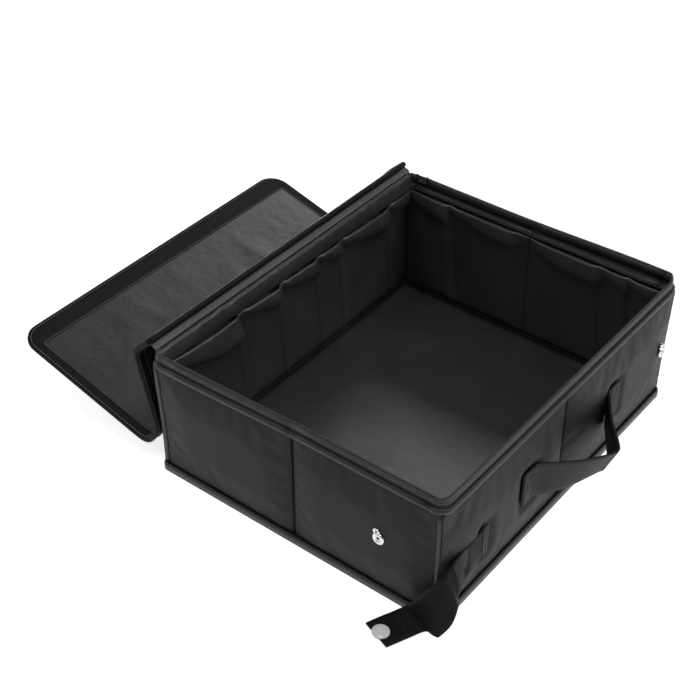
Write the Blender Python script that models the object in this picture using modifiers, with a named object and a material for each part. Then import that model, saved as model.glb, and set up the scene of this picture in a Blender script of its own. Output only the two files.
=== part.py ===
"""Foldable litter box of cloth over boards: four walls that fold flat, a soft lid on a zip, a handle and a strap."""

import math

import bmesh
import bpy
from mathutils import Matrix, Vector

# Main sizes, in metres. The origin is the middle of the foot's underside. The handle's wall faces -Y.
WALL_LENGTH = 0.400
WALL_DEPTH = 0.330
WALL_HEIGHT = 0.150

# Layers of a wall, from its outer plane inwards
CROWN = 0.0015
COVER_BACK = 0.0032
BOARD_THICKNESS = 0.0025
LINING_THICKNESS = 0.0012
LAYER_GAP = 0.0003
SIDE_FOLD_HEIGHT = 0.0016
BACK_FOLD_HEIGHT = 0.0040
FOLD_SPREAD = 0.011
BOARD_MARGIN = 0.004
BOARD_CORNER = 0.006
CREASE_HALF_GAP = 0.0005
CREASE_DRAW = 0.0012

# The foot
FLOOR_THICKNESS = 0.0012
FLOOR_LINING_THICKNESS = 0.0014
FOOT_LIP_TOP = 0.0077
FOOT_TAPE_TOP = 0.0080
FOOT_TAPE_PROUD = 0.0015
FOOT_TAPE_INSET = 0.0012
FOOT_CORNER = 0.006

# The rim
RIM_TAPE_DROP = 0.018
RIM_TAPE_HEIGHT = 0.006
RIM_TAPE_PROUD = 0.0005
RIM_CORNER = 0.012
RIM_RETURN = 0.015
ZIP_TAPE_INSET = 0.0018
ZIP_TAPE_THICKNESS = 0.0016
ZIP_BEAD_PROUD = 0.0007
ZIP_BEAD_HEIGHT = 0.0030
ZIP_LIP_HEIGHT = 0.0026
CORNER_TAPE_THICKNESS = 0.0015

# The lid, two stiff spans that hang behind the back wall
LID_THICKNESS = 0.0050
LID_CLOTH_THICKNESS = 0.0012
LID_PAD_THICKNESS = 0.0020
LID_REST_GAP = 0.0022
LID_JOINT_GAP = 0.0006
LID_BAND = 0.025
LID_SIDE_BAND = 0.012
LID_BAND_THICKNESS = 0.0030
LID_CORNER = 0.022
LID_SWELL = 0.0012
LID_STRIP = 0.0260
LID_HINGE_OUT = 0.0030
LID_LOW_OUT = 0.0170
LID_LOW_HEIGHT = 0.0130
LID_EDGE_OUT = 0.1960
LID_EDGE_HEIGHT = 0.0680

# Where the wall halves turn
PIVOT_INSET = 0.010
PIVOT_DEPTH = 0.010

# Handle: a loop of webbing that stands off the front wall
WEB_THICKNESS = 0.0020
HANDLE_WIDTH = 0.038
HANDLE_LEFT = -0.058
HANDLE_RIGHT = 0.079
HANDLE_TOP = 0.088
HANDLE_SAG = 0.014
HANDLE_STAND_OFF = 0.038
HANDLE_PATCH_LENGTH = 0.017
PATCH_THICKNESS = 0.0024
# Along the loop, out from the wall and down, as shares of its length, stand-off and sag
HANDLE_ROUTE_SHARES = (
    (0.0, 0.01, 0.0), (0.035, 0.03, 0.0), (0.12, 0.22, 0.2), (0.25, 0.50, 0.5), (0.39, 0.76, 0.7),
    (0.53, 0.95, 0.9), (0.62, 0.97, 1.0), (0.80, 0.55, 0.9), (0.92, 0.18, 0.3), (0.968, 0.03, 0.0),
    (1.0, 0.01, 0.0),
)

# Strap: sewn to the front wall near its left end, round the corner and down to the floor
STRAP_WIDTH = 0.0345
STRAP_ROOT = 0.0600
STRAP_PATCH_LENGTH = 0.0090
STRAP_TOP = 0.0740
STRAP_TIP_LENGTH = 0.0500
# Both edges from the root to the tip, measured from the wall's front left corner: out to the left and
# back as shares of the reach, and up as a share of the root's height
STRAP_UPPER_SHARES = (
    (-0.60, -0.050, 1.0), (-0.16, -0.070, 0.99), (0.04, -0.080, 0.93), (0.10, 0.13, 0.70),
    (0.10, 0.38, 0.43), (0.12, 0.66, 0.12), (0.24, 0.78, 0.050), (0.52, 0.90, 0.055), (0.78, 1.0, 0.062),
)
STRAP_LOWER_SHARES = (
    (-0.68, -0.090, 0.53), (-0.24, -0.20, 0.52), (-0.06, -0.33, 0.46), (0.10, -0.34, 0.27),
    (0.22, -0.18, 0.10), (0.24, 0.08, 0.045), (0.48, 0.20, 0.045), (0.76, 0.31, 0.055), (0.98, 0.40, 0.062),
)

# Snap fastener
STUD_FLANGE_RADIUS = 0.0075
STUD_FLANGE_HEIGHT = 0.0012
STUD_POST_RADIUS = 0.0034
STUD_POST_HEIGHT = 0.0042
STUD_HOLE_RADIUS = 0.0016
CAP_RADIUS = 0.0082
CAP_HEIGHT = 0.0030
SOCKET_RADIUS = 0.0062
SOCKET_HEIGHT = 0.0022
LEFT_STUD_FROM_CORNER = 0.064
LEFT_STUD_HEIGHT = 0.073
FRONT_STUD_FROM_CORNER = 0.019
FRONT_STUD_HEIGHT = 0.071

# Zip slider and its pull
SLIDER_LENGTH = 0.010
SLIDER_PLATE = 0.0010
SLIDER_OUTER_PLATE = 0.0016
SLIDER_DROP = 0.0075
SLIDER_FROM_CORNER = 0.024
PULL_LENGTH = 0.021
PULL_WIDTH = 0.0065
PULL_THICKNESS = 0.0014

# Colours, as read from the photo
BLACK_CLOTH = (0.023, 0.023, 0.024)
BLACK_TAPE = (0.018, 0.018, 0.019)
BLACK_LINING = (0.030, 0.030, 0.032)
LID_LINING = (0.045, 0.045, 0.047)
WEBBING = (0.027, 0.027, 0.028)
BOARD_GREY = (0.20, 0.19, 0.18)
PAD_WHITE = (0.60, 0.60, 0.58)
NICKEL = (0.78, 0.78, 0.76)
CAP_GREY = (0.56, 0.57, 0.55)
ZIP_BLACK = (0.035, 0.035, 0.037)

CLOTH_ROUGHNESS = 0.78
METAL_ROUGHNESS = 0.28
PLASTIC_ROUGHNESS = 0.55

# Worked out from the sizes above
RIM_TAPE_BOTTOM = WALL_HEIGHT - RIM_TAPE_DROP
RIM_TAPE_TOP = RIM_TAPE_BOTTOM + RIM_TAPE_HEIGHT
BOARD_OUTER = COVER_BACK + LAYER_GAP
BOARD_INNER = BOARD_OUTER + BOARD_THICKNESS
LINING_OUTER = BOARD_INNER + LAYER_GAP
WALL_THICKNESS = LINING_OUTER + LINING_THICKNESS
WALL_FOOT = FOOT_TAPE_TOP + LAYER_GAP
WALL_TOP = RIM_TAPE_BOTTOM - LAYER_GAP
HALF_END = WALL_DEPTH / 2 - WALL_THICKNESS - LAYER_GAP
ZIP_TAPE_BOTTOM = RIM_TAPE_TOP + LAYER_GAP
FRONT_YAW, RIGHT_YAW, BACK_YAW, LEFT_YAW = 0, 90, 180, 270
OUTER_DISTANCE = {
    FRONT_YAW: WALL_DEPTH / 2,
    BACK_YAW: WALL_DEPTH / 2,
    RIGHT_YAW: WALL_LENGTH / 2,
    LEFT_YAW: WALL_LENGTH / 2,
}


# The scene
def clear_scene():
    for obj in list(bpy.data.objects):
        bpy.data.objects.remove(obj)


def new_collection(name):
    collection = bpy.data.collections.new(name)
    bpy.context.scene.collection.children.link(collection)
    return collection


clear_scene()
PARTS = new_collection("foldable_litter_box")
CUTTERS = new_collection("cutters")
CUTTERS.hide_render = True


def paint(obj, colour, roughness=CLOTH_ROUGHNESS, metallic=0.0):
    material = bpy.data.materials.new(obj.name)
    material.use_nodes = True
    shader = material.node_tree.nodes["Principled BSDF"]
    shader.inputs["Base Color"].default_value = (*colour, 1)
    shader.inputs["Roughness"].default_value = roughness
    shader.inputs["Metallic"].default_value = metallic
    material.diffuse_color = (*colour, 1)
    obj.data.materials.append(material)


def place(obj, matrix, joint=None):
    """Puts the object at a world matrix and hangs it on its joint's empty."""
    if joint:
        obj.parent = joint
        obj.matrix_parent_inverse = joint.matrix_world.inverted()
    obj.matrix_world = matrix


def add_joint(name, location, parent=None):
    """An empty on a joint's axis."""
    empty = bpy.data.objects.new(name, None)
    PARTS.objects.link(empty)
    place(empty, Matrix.Translation(location), parent)
    bpy.context.view_layer.update()
    return empty


def mesh_object(name, bm, collection=PARTS, smooth=False):
    bmesh.ops.recalc_face_normals(bm, faces=bm.faces)
    mesh = bpy.data.meshes.new(name)
    bm.to_mesh(mesh)
    bm.free()
    mesh.shade_smooth() if smooth else mesh.shade_flat()
    obj = bpy.data.objects.new(name, mesh)
    collection.objects.link(obj)
    return obj


def wall_frame(yaw):
    """Local x along the wall, y inwards from its outer plane, z up."""
    turn = Matrix.Rotation(math.radians(yaw), 4, "Z")
    return turn @ Matrix.Translation((0, -OUTER_DISTANCE[yaw], 0))


# Shape tools
def spread(start, end, count):
    return [start + (end - start) * i / count for i in range(count + 1)]


def quartic(value, start, end):
    """1 in the middle of a span and 0 at its ends, nearly flat between."""
    share = (2 * value - start - end) / (end - start)
    return 1 - min(abs(share), 1) ** 4


def bump(value, middle, spread_width):
    return math.exp(-(((value - middle) / spread_width) ** 2))


def sheet(name, xs, ys, face, back, smooth=True):
    """A slab whose one side follows face(x, y) and whose other side lies flat at the height back."""
    bm = bmesh.new()
    bmesh.ops.create_grid(bm, x_segments=len(xs) - 1, y_segments=len(ys) - 1, size=1)
    for vertex in bm.verts:
        column = round((vertex.co.x + 1) / 2 * (len(xs) - 1))
        row = round((vertex.co.y + 1) / 2 * (len(ys) - 1))
        x, y = xs[column], ys[row]
        vertex.co = (x, y, face(x, y))
    region = bmesh.ops.extrude_face_region(bm, geom=bm.faces[:])["geom"]
    for item in region:
        if isinstance(item, bmesh.types.BMVert):
            item.co.z = back
    lower = [item for item in region if isinstance(item, bmesh.types.BMFace)]
    bmesh.ops.dissolve_faces(bm, faces=lower)
    return mesh_object(name, bm, smooth=smooth)


# A sheet's local x, y and height become the wall's x, z and inward y.
STAND_UP = Matrix(((1, 0, 0, 0), (0, 0, 1, 0), (0, 1, 0, 0), (0, 0, 0, 1)))


def stand_up(obj):
    """Turns a sheet's mesh from lying to standing in its wall's frame."""
    obj.data.transform(STAND_UP)
    obj.data.flip_normals()
    return obj


def outline_points(width, height, corner, steps):
    """A rectangle round the origin with round corners, anticlockwise."""
    points = []
    for quarter, (sx, sy) in enumerate(((1, 1), (-1, 1), (-1, -1), (1, -1))):
        middle = Vector((sx * (width / 2 - corner), sy * (height / 2 - corner)))
        for step in range(steps + 1):
            angle = math.pi / 2 * (quarter + step / steps)
            points.append(middle + corner * Vector((math.cos(angle), math.sin(angle))))
    return points


def flat_curve(name, points, closed, collection=PARTS):
    curve = bpy.data.curves.new(name, "CURVE")
    curve.dimensions = "2D"
    spline = curve.splines.new("POLY")
    spline.points.add(len(points) - 1)
    for target, point in zip(spline.points, points):
        target.co = (point[0], point[1], 0, 1)
    spline.use_cyclic_u = closed
    obj = bpy.data.objects.new(name, curve)
    collection.objects.link(obj)
    return obj


def plate(name, points, thickness):
    """A flat outline, thick to both sides of its plane."""
    obj = flat_curve(name, points, True)
    obj.data.fill_mode = "BOTH"
    obj.data.extrude = thickness / 2
    return obj


def swept(name, path, closed, profile):
    """A section carried along a path. The section's x is outwards and its y up.

    Outwards is to the right of an open path. Blender runs a closed flat curve clockwise, so there
    the section is mirrored.
    """
    points = [(-x, y) for x, y in profile] if closed else profile[::-1]
    section = flat_curve(name + "_section", points, True, CUTTERS)
    obj = flat_curve(name, path, closed)
    obj.data.bevel_mode = "OBJECT"
    obj.data.bevel_object = section
    obj.data.use_fill_caps = not closed
    return obj


def turned(name, profile, steps, collection=PARTS):
    """A profile turned round z with a Screw modifier."""
    mesh = bpy.data.meshes.new(name)
    edges = [(i, i + 1) for i in range(len(profile) - 1)]
    mesh.from_pydata([(x, 0, z) for x, z in profile], edges, [])
    obj = bpy.data.objects.new(name, mesh)
    collection.objects.link(obj)
    screw = obj.modifiers.new("turn", "SCREW")
    screw.steps = screw.render_steps = steps
    screw.use_merge_vertices = True
    screw.merge_threshold = 0.00001
    screw.use_smooth_shade = True
    return obj


def ribbon(name, centres, across, width, thickness):
    """A strip of webbing along centre points, with the direction of its width at each."""
    bm = bmesh.new()
    bmesh.ops.create_grid(bm, x_segments=len(centres) - 1, y_segments=1, size=1)
    for vertex in bm.verts:
        column = round((vertex.co.x + 1) / 2 * (len(centres) - 1))
        side = vertex.co.y
        vertex.co = centres[column] + across[column] * (side * width / 2)
    obj = mesh_object(name, bm, smooth=True)
    solid = obj.modifiers.new("thickness", "SOLIDIFY")
    solid.thickness = thickness
    solid.offset = 0
    solid.use_even_offset = True
    return obj


# Walls
def half_span(side):
    """A wall half's ends along the wall, on the side -1 or 1 of its crease."""
    near, far = CREASE_HALF_GAP, HALF_END
    return (near, far) if side > 0 else (-far, -near)


def long_span(side):
    near, far = 0.0, WALL_LENGTH / 2 - CORNER_TAPE_THICKNESS
    return (near, far) if side > 0 else (-far, -near)


def crowned(x, z, span):
    """How far a padded field's face lies inside the outer plane."""
    height = quartic(x, *span) * quartic(z, WALL_FOOT, WALL_TOP)
    return CROWN * (1 - height)


def cover(name, spans, columns, yaw, joint=None):
    """The outer cloth of a wall: one padded field for each span."""
    xs = spread(*spans[0], columns)
    for span in spans[1:]:
        xs += spread(*span, columns)[1:]

    def face(x, z):
        drawn = min(crowned(x, z, span) for span in spans)
        crease = CREASE_DRAW * bump(x, 0, CROWN) if len(spans) > 1 else 0
        return drawn + crease

    obj = stand_up(sheet(name, xs, spread(WALL_FOOT, WALL_TOP, 8), face, COVER_BACK))
    paint(obj, BLACK_CLOTH)
    place(obj, wall_frame(yaw), joint)
    return obj


def board(name, span, yaw, joint=None):
    length = span[1] - span[0] - 2 * BOARD_MARGIN
    height = WALL_TOP - WALL_FOOT - 2 * BOARD_MARGIN
    obj = plate(name, outline_points(length, height, BOARD_CORNER, 3), BOARD_THICKNESS)
    middle = Vector(((span[0] + span[1]) / 2, (BOARD_OUTER + BOARD_INNER) / 2, (WALL_FOOT + WALL_TOP) / 2))
    upright = Matrix.Rotation(math.pi / 2, 4, "X")
    paint(obj, BOARD_GREY, PLASTIC_ROUGHNESS)
    place(obj, wall_frame(yaw) @ Matrix.Translation(middle) @ upright, joint)
    return obj


def lining(name, span, columns, fold, yaw, joint=None):
    """The inner cloth of a wall, with loose folds that die out at its edges."""

    def face(x, z):
        calm = quartic(x, *span) * quartic(z, WALL_FOOT, WALL_TOP)
        return WALL_THICKNESS + fold(x, z) * calm

    zs = spread(WALL_FOOT, WALL_TOP, 10)
    obj = stand_up(sheet(name, spread(*span, columns), zs, face, LINING_OUTER))
    paint(obj, BLACK_LINING)
    place(obj, wall_frame(yaw), joint)
    return obj


def tape_section(bottom, top):
    """The band that binds the wall's top edge. Positive x is outwards."""
    out, inside = RIM_TAPE_PROUD, -WALL_THICKNESS - RIM_TAPE_PROUD
    soft = RIM_TAPE_PROUD
    return (
        (out, bottom + soft), (out, top - soft), (out - soft, top),
        (inside + soft, top), (inside, top - soft), (inside, bottom + soft),
        (inside + soft, bottom), (out - soft, bottom),
    )


def zip_section():
    """The upright zip tape with a bead half-way up and the zip's coil on its lip."""
    out = -ZIP_TAPE_INSET
    inside = out - ZIP_TAPE_THICKNESS
    middle = (ZIP_TAPE_BOTTOM + WALL_HEIGHT - ZIP_LIP_HEIGHT) / 2
    low, high = middle - ZIP_BEAD_HEIGHT / 2, middle + ZIP_BEAD_HEIGHT / 2
    lip = WALL_HEIGHT - ZIP_LIP_HEIGHT
    right = (
        (out, ZIP_TAPE_BOTTOM), (out, low), (out + ZIP_BEAD_PROUD, middle), (out, high),
        (out, lip), (out + ZIP_BEAD_PROUD, lip + ZIP_BEAD_PROUD),
        (out + ZIP_BEAD_PROUD, WALL_HEIGHT - ZIP_BEAD_PROUD), (out, WALL_HEIGHT),
    )
    left = (
        (inside, WALL_HEIGHT), (inside - ZIP_BEAD_PROUD, WALL_HEIGHT - ZIP_BEAD_PROUD),
        (inside - ZIP_BEAD_PROUD, lip + ZIP_BEAD_PROUD), (inside, lip), (inside, ZIP_TAPE_BOTTOM),
    )
    return right + left


def back_rim_section():
    """Binding tape, upright tape and lid seam in one, for the wall that the lid hangs on.

    The seam's ridge ends a gap away from the lid, both as it hangs and when it is closed.
    """
    points = lid_points()
    hang = points[0] - points[1]
    reach = LID_THICKNESS / 2 + LAYER_GAP
    ridge_out = LID_HINGE_OUT - reach * math.tan(math.atan2(hang.y, -hang.x) / 2)
    ridge_top = WALL_HEIGHT + LID_REST_GAP - LAYER_GAP
    ridge = (
        (ridge_out, ridge_top - ZIP_TAPE_THICKNESS / 2), (ridge_out, ridge_top),
        (ridge_out - ZIP_TAPE_THICKNESS, ridge_top),
    )
    binding = tape_section(RIM_TAPE_BOTTOM, RIM_TAPE_TOP)
    upper = zip_section()
    return (*binding[:3], *upper[:6], *ridge, *upper[8:], *binding[3:])


def rim_path(yaw):
    """Round the wall's top from one side wall to the other, in that wall's frame."""
    end = WALL_LENGTH / 2
    start = [Vector((-end, RIM_RETURN))]
    corner = Vector((-end + RIM_CORNER, RIM_CORNER))
    for step in range(5):
        angle = math.pi + math.pi / 2 * step / 4
        start.append(corner + RIM_CORNER * Vector((math.cos(angle), math.sin(angle))))
    return start + [Vector((-point.x, point.y)) for point in reversed(start)]


def side_rim_span(side):
    near, far = CREASE_HALF_GAP, WALL_DEPTH / 2 - RIM_RETURN - LAYER_GAP
    return (near, far) if side > 0 else (-far, -near)


def rim(name, path, section, colour, yaw, joint=None):
    obj = swept(name, path, False, section)
    paint(obj, colour)
    place(obj, wall_frame(yaw), joint)
    return obj


def corner_tape(name, side, yaw, joint=None):
    """Closes the wall's end, behind its cover."""
    bm = bmesh.new()
    bmesh.ops.create_cube(bm, size=1)
    depth = WALL_THICKNESS - BOARD_OUTER
    bmesh.ops.scale(bm, vec=(CORNER_TAPE_THICKNESS, depth, WALL_TOP - WALL_FOOT), verts=bm.verts)
    obj = mesh_object(name, bm)
    paint(obj, BLACK_TAPE)
    x = side * (WALL_LENGTH / 2 - CORNER_TAPE_THICKNESS * 3 / 2)
    middle = (x, (BOARD_OUTER + WALL_THICKNESS) / 2, (WALL_FOOT + WALL_TOP) / 2)
    place(obj, wall_frame(yaw) @ Matrix.Translation(middle), joint)
    return obj


def inner_span(side):
    """Where a long wall's board and lining end, inside its corner tape."""
    near, far = CREASE_HALF_GAP, WALL_LENGTH / 2 - 2 * CORNER_TAPE_THICKNESS - LAYER_GAP
    return (near, far) if side > 0 else (-far, -near)


# Loose folds of the linings, from the photo: places as shares of the wall's half length and height
BACK_FOLD_SHARES = ((0.36, 0.9), (0.46, 0.55), (0.20, 0.6), (-0.36, 0.5), (-0.74, 0.5), (0.78, 0.4))
FRONT_FOLD_SHARES = ((-0.6, 0.5), (-0.2, 0.4), (0.25, 0.5), (0.65, 0.4))
RIGHT_FOLD_SHARES = ((-0.10, 0.9), (-0.50, 0.6), (-0.80, 0.4), (0.35, 0.6), (0.70, 0.5))


def folds(shares, half_length, height):
    """Upright folds, each with its own strength, and a soft roll just below the rim."""

    def raised(x, z):
        total = sum(
            strength * bump(x, place_share * half_length, FOLD_SPREAD)
            for place_share, strength in shares
        )
        roll = bump(z, WALL_TOP - FOLD_SPREAD, FOLD_SPREAD) / 2
        return height * min(total * (1 - 0.3 * (WALL_TOP - z) / WALL_TOP) + roll, 1)

    return raised


def build_long_wall(prefix, yaw, fold, joint=None):
    """The front or back wall, without its rim."""
    cover(prefix + "_cover", (long_span(-1), long_span(1)), 9, yaw, joint)
    # Seen from outside, the back wall's own left is the front's right.
    for side, word in ((-1, "left"), (1, "right")):
        mirrored = -side if yaw == BACK_YAW else side
        board(f"{prefix}_board_{word}", inner_span(mirrored), yaw, joint)
        corner_tape(f"{prefix}_corner_tape_{word}", mirrored, yaw, joint)
    ends = (inner_span(-1)[0], inner_span(1)[1])
    lining(prefix + "_lining", ends, 22, fold, yaw, joint)


def build_side_half(prefix, side, fold, yaw, joint):
    """One half of a side wall, with its part of the rim."""
    span = half_span(side)
    cover(prefix + "_cover", (span,), 9, yaw, joint)
    board(prefix + "_board", span, yaw, joint)
    lining(prefix + "_lining", span, 12, fold, yaw, joint)
    path = [Vector((x, 0)) for x in side_rim_span(side)]
    rim(prefix + "_rim_binding", path, tape_section(RIM_TAPE_BOTTOM, RIM_TAPE_TOP), BLACK_TAPE, yaw, joint)
    rim(prefix + "_zip_tape", path, zip_section(), ZIP_BLACK, yaw, joint)


# The foot
def foot_path(inset):
    width, depth = WALL_LENGTH - 2 * inset, WALL_DEPTH - 2 * inset
    return outline_points(width, depth, FOOT_CORNER - inset, 3)


def build_foot():
    rise = FOOT_LIP_TOP
    inner = WALL_THICKNESS
    bm = bmesh.new()
    bmesh.ops.create_cube(bm, size=1)
    inset = FOOT_TAPE_INSET + LAYER_GAP
    size = (WALL_LENGTH - 2 * inset, WALL_DEPTH - 2 * inset, rise)
    bmesh.ops.scale(bm, vec=size, verts=bm.verts)
    bmesh.ops.translate(bm, vec=(0, 0, rise / 2), verts=bm.verts)
    upright = [edge for edge in bm.edges if edge.verts[0].co.xy == edge.verts[1].co.xy]
    bmesh.ops.bevel(bm, geom=upright, offset=FOOT_CORNER - inset, segments=3, profile=0.5, affect="EDGES")
    bm.normal_update()
    top = [face for face in bm.faces if face.normal.z > 0.5]
    bmesh.ops.inset_region(bm, faces=top, thickness=inner - inset)
    bmesh.ops.translate(bm, vec=(0, 0, FLOOR_THICKNESS - rise), verts=top[0].verts)
    tray = mesh_object("base_cover", bm)
    paint(tray, BLACK_CLOTH)

    binding_section = (
        (FOOT_TAPE_PROUD, LAYER_GAP), (FOOT_TAPE_PROUD, FOOT_TAPE_TOP - LAYER_GAP),
        (FOOT_TAPE_PROUD - LAYER_GAP, FOOT_TAPE_TOP), (-FOOT_TAPE_INSET, FOOT_TAPE_TOP),
        (-FOOT_TAPE_INSET, LAYER_GAP),
    )
    binding = swept("base_binding", foot_path(0), True, binding_section)
    paint(binding, BLACK_TAPE)

    reach_x = WALL_LENGTH / 2 - inner - LAYER_GAP
    reach_y = WALL_DEPTH / 2 - inner - LAYER_GAP
    under = FLOOR_THICKNESS + LAYER_GAP

    def swell(x, y):
        loose = math.sin(x * 9 * math.pi / WALL_LENGTH) * math.sin(y * 7 * math.pi / WALL_DEPTH)
        calm = quartic(x, -reach_x, reach_x) * quartic(y, -reach_y, reach_y)
        return under + FLOOR_LINING_THICKNESS * (1 + (1 + loose) * calm / 2)

    floor = sheet("base_lining", spread(-reach_x, reach_x, 14), spread(-reach_y, reach_y, 12), swell, under)
    paint(floor, BLACK_LINING)


# The lid
def lid_points():
    """The lid's mid-line from the back rim to its free edge, as world y and z."""
    wall = WALL_DEPTH / 2
    hinge = WALL_HEIGHT + LID_REST_GAP + LID_THICKNESS / 2
    return (
        Vector((wall + LID_HINGE_OUT, hinge)),
        Vector((wall + LID_LOW_OUT, LID_LOW_HEIGHT)),
        Vector((wall + LID_EDGE_OUT, LID_EDGE_HEIGHT)),
    )


def span_frame(start, end):
    """A lid span's frame: x along the hinge, y along the span, z towards its lining side."""
    step = end - start
    return Matrix.Translation((0, start.x, start.y)) @ Matrix.Rotation(math.atan2(step.y, step.x), 4, "X")


def set_back(thickness, points, index):
    """How far a span's end stays from a bend, so that the two spans' ends don't meet."""
    if index in (0, len(points) - 1):
        return 0
    before, after = points[index] - points[index - 1], points[index + 1] - points[index]
    half = abs(before.angle_signed(after)) / 2
    return (thickness / 2 * math.sin(half) + LID_JOINT_GAP / 2) / math.cos(half)


def lid_joints():
    points = lid_points()
    joints, parent = [], None
    for name, point in zip(("lid_hinge", "lid_bend"), points):
        parent = add_joint(name, (0, point.x, point.y), parent)
        joints.append(parent)
    return points, joints


def swelling(reach_x, start, end, lobes):
    """A soft swell over a lid panel, with a few shallow lobes."""

    def height(x, y):
        calm = quartic(x, -reach_x, reach_x) * quartic(y, start, end)
        lobe = math.sin(lobes * math.pi * (x + reach_x) / (2 * reach_x))
        return LID_SWELL * calm * (0.7 + 0.3 * lobe)

    return height


def build_lid_strip(name, start, frame, joint):
    """The strip of cloth beside a bend, sewn through and without padding."""
    half = WALL_LENGTH / 2 - LAYER_GAP
    lower, upper = -LID_THICKNESS / 2, LID_THICKNESS / 2
    xs, ys = spread(-half, half, 8), spread(start, LID_STRIP - LAYER_GAP, 2)
    obj = sheet(name, xs, ys, lambda x, y: upper, lower)
    paint(obj, LID_LINING)
    place(obj, frame, joint)


def build_lid_layers(prefix, span, side_margin, end_margin, frame, joint):
    """Outer cloth, padding and inner cloth of one lid panel, inside its edge band."""
    reach_x = WALL_LENGTH / 2 - side_margin
    start, end = span[0], span[1] - end_margin
    xs, ys = spread(-reach_x, reach_x, 14), spread(start, end, 8)
    bottom = -LID_THICKNESS / 2
    soft = swelling(reach_x, start, end, 5)
    cloth, pad = LID_CLOTH_THICKNESS, LID_PAD_THICKNESS
    layers = (
        ("_cover", bottom + cloth, bottom, -1, BLACK_CLOTH),
        ("_lining", -bottom - cloth, -bottom, 1, LID_LINING),
    )
    for word, flat, outer, side, colour in layers:

        def face(x, y, outer=outer, side=side):
            return outer + side * (soft(x, y) - LAYER_GAP * (1 - quartic(x, -reach_x, reach_x)))

        obj = sheet(prefix + word, xs, ys, face, flat)
        paint(obj, colour)
        place(obj, frame, joint)
    inset = LAYER_GAP
    width, length = 2 * reach_x - 2 * inset, end - start - 2 * inset
    obj = plate(prefix + "_pad", outline_points(width, length, LID_CLOTH_THICKNESS, 2), pad)
    paint(obj, PAD_WHITE)
    place(obj, frame @ Matrix.Translation((0, (start + end) / 2, 0)), joint)


def band_section(width):
    """An edge band's section, from the lid's edge inwards. The lid's edge is at x = 0."""
    half, soft = LID_BAND_THICKNESS / 2, LID_BAND_THICKNESS / 4
    return (
        (0, soft - half), (0, half - soft), (-soft, half),
        (-width + soft, half), (-width, half - soft), (-width, soft - half),
        (-width + soft, -half), (-soft, -half),
    )


def build_lid():
    points, joints = lid_joints()
    inner_frame = span_frame(points[0], points[1])
    outer_frame = span_frame(points[1], points[2])
    bend = set_back(LID_THICKNESS, points, 1)
    build_lid_strip("lid_hinge_strip", 0, inner_frame, joints[0])
    build_lid_strip("lid_crease_strip", bend, outer_frame, joints[1])

    inner = (LID_STRIP, (points[1] - points[0]).length - bend)
    inside = LID_SIDE_BAND + LAYER_GAP
    build_lid_layers("lid_inner", inner, inside, 0, inner_frame, joints[0])
    for side, word in ((-1, "left"), (1, "right")):
        edge = side * WALL_LENGTH / 2
        path = [Vector((edge, y)) for y in (inner if side > 0 else reversed(inner))]
        band = swept("lid_inner_band_" + word, path, False, band_section(LID_SIDE_BAND))
        paint(band, BLACK_TAPE)
        place(band, inner_frame, joints[0])

    outer = (LID_STRIP, (points[2] - points[1]).length)
    build_lid_layers("lid_outer", outer, inside, LID_BAND + LAYER_GAP, outer_frame, joints[1])
    build_outer_band(outer, outer_frame, joints[1])


def build_outer_band(span, frame, joint):
    """The U-shaped border of the lid's free edge: narrow at the sides, wide along the edge."""
    half = WALL_LENGTH / 2
    outside = [Vector((half, span[0]))]
    corner = Vector((half - LID_CORNER, span[1] - LID_CORNER))
    for step in range(7):
        angle = math.pi / 2 * step / 6
        outside.append(corner + LID_CORNER * Vector((math.cos(angle), math.sin(angle))))
    outside += [Vector((-point.x, point.y)) for point in reversed(outside)]
    inner_x = half - LID_SIDE_BAND
    inner_y = span[1] - LID_BAND
    inside = [Vector((-inner_x, span[0])), Vector((-inner_x, inner_y)), Vector((inner_x, inner_y))]
    inside.append(Vector((inner_x, span[0])))
    band = plate("lid_outer_band", outside + inside, LID_BAND_THICKNESS)
    paint(band, BLACK_TAPE)
    place(band, frame, joint)


# Handle and strap
def smooth_route(points, per_span):
    """A Catmull-Rom curve through the points, as evenly many steps in each span."""
    ends = [2 * points[0] - points[1], *points, 2 * points[-1] - points[-2]]
    route = []
    for before, start, end, after in zip(ends, ends[1:], ends[2:], ends[3:]):
        for step in range(per_span):
            t = step / per_span
            route.append(
                (2 * start + (end - before) * t + (2 * before - 5 * start + 4 * end - after) * t * t
                 + (3 * start - before - 3 * end + after) * t ** 3) / 2
            )
    route.append(points[-1])
    return route


def handle_route():
    """The loop's centre line: out from the left end, round a bend and back to the wall."""
    wall = -WALL_DEPTH / 2 - LAYER_GAP - WEB_THICKNESS / 2
    level = HANDLE_TOP - HANDLE_WIDTH / 2
    start, end = HANDLE_LEFT + LAYER_GAP, HANDLE_RIGHT - LAYER_GAP
    return [
        Vector((start + (end - start) * along, wall - HANDLE_STAND_OFF * out, level - HANDLE_SAG * sag))
        for along, out, sag in HANDLE_ROUTE_SHARES
    ]


def sewn_patch(name, left, length, width, middle_height, joint):
    """The flat end of a strip, sewn to the front wall."""
    points = outline_points(length, width, LAYER_GAP, 1)
    patch = plate(name, points, PATCH_THICKNESS)
    paint(patch, WEBBING)
    y = -WALL_DEPTH / 2 - LAYER_GAP - PATCH_THICKNESS / 2
    upright = Matrix.Rotation(math.pi / 2, 4, "X")
    place(patch, Matrix.Translation((left + length / 2, y, middle_height)) @ upright, joint)


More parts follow.
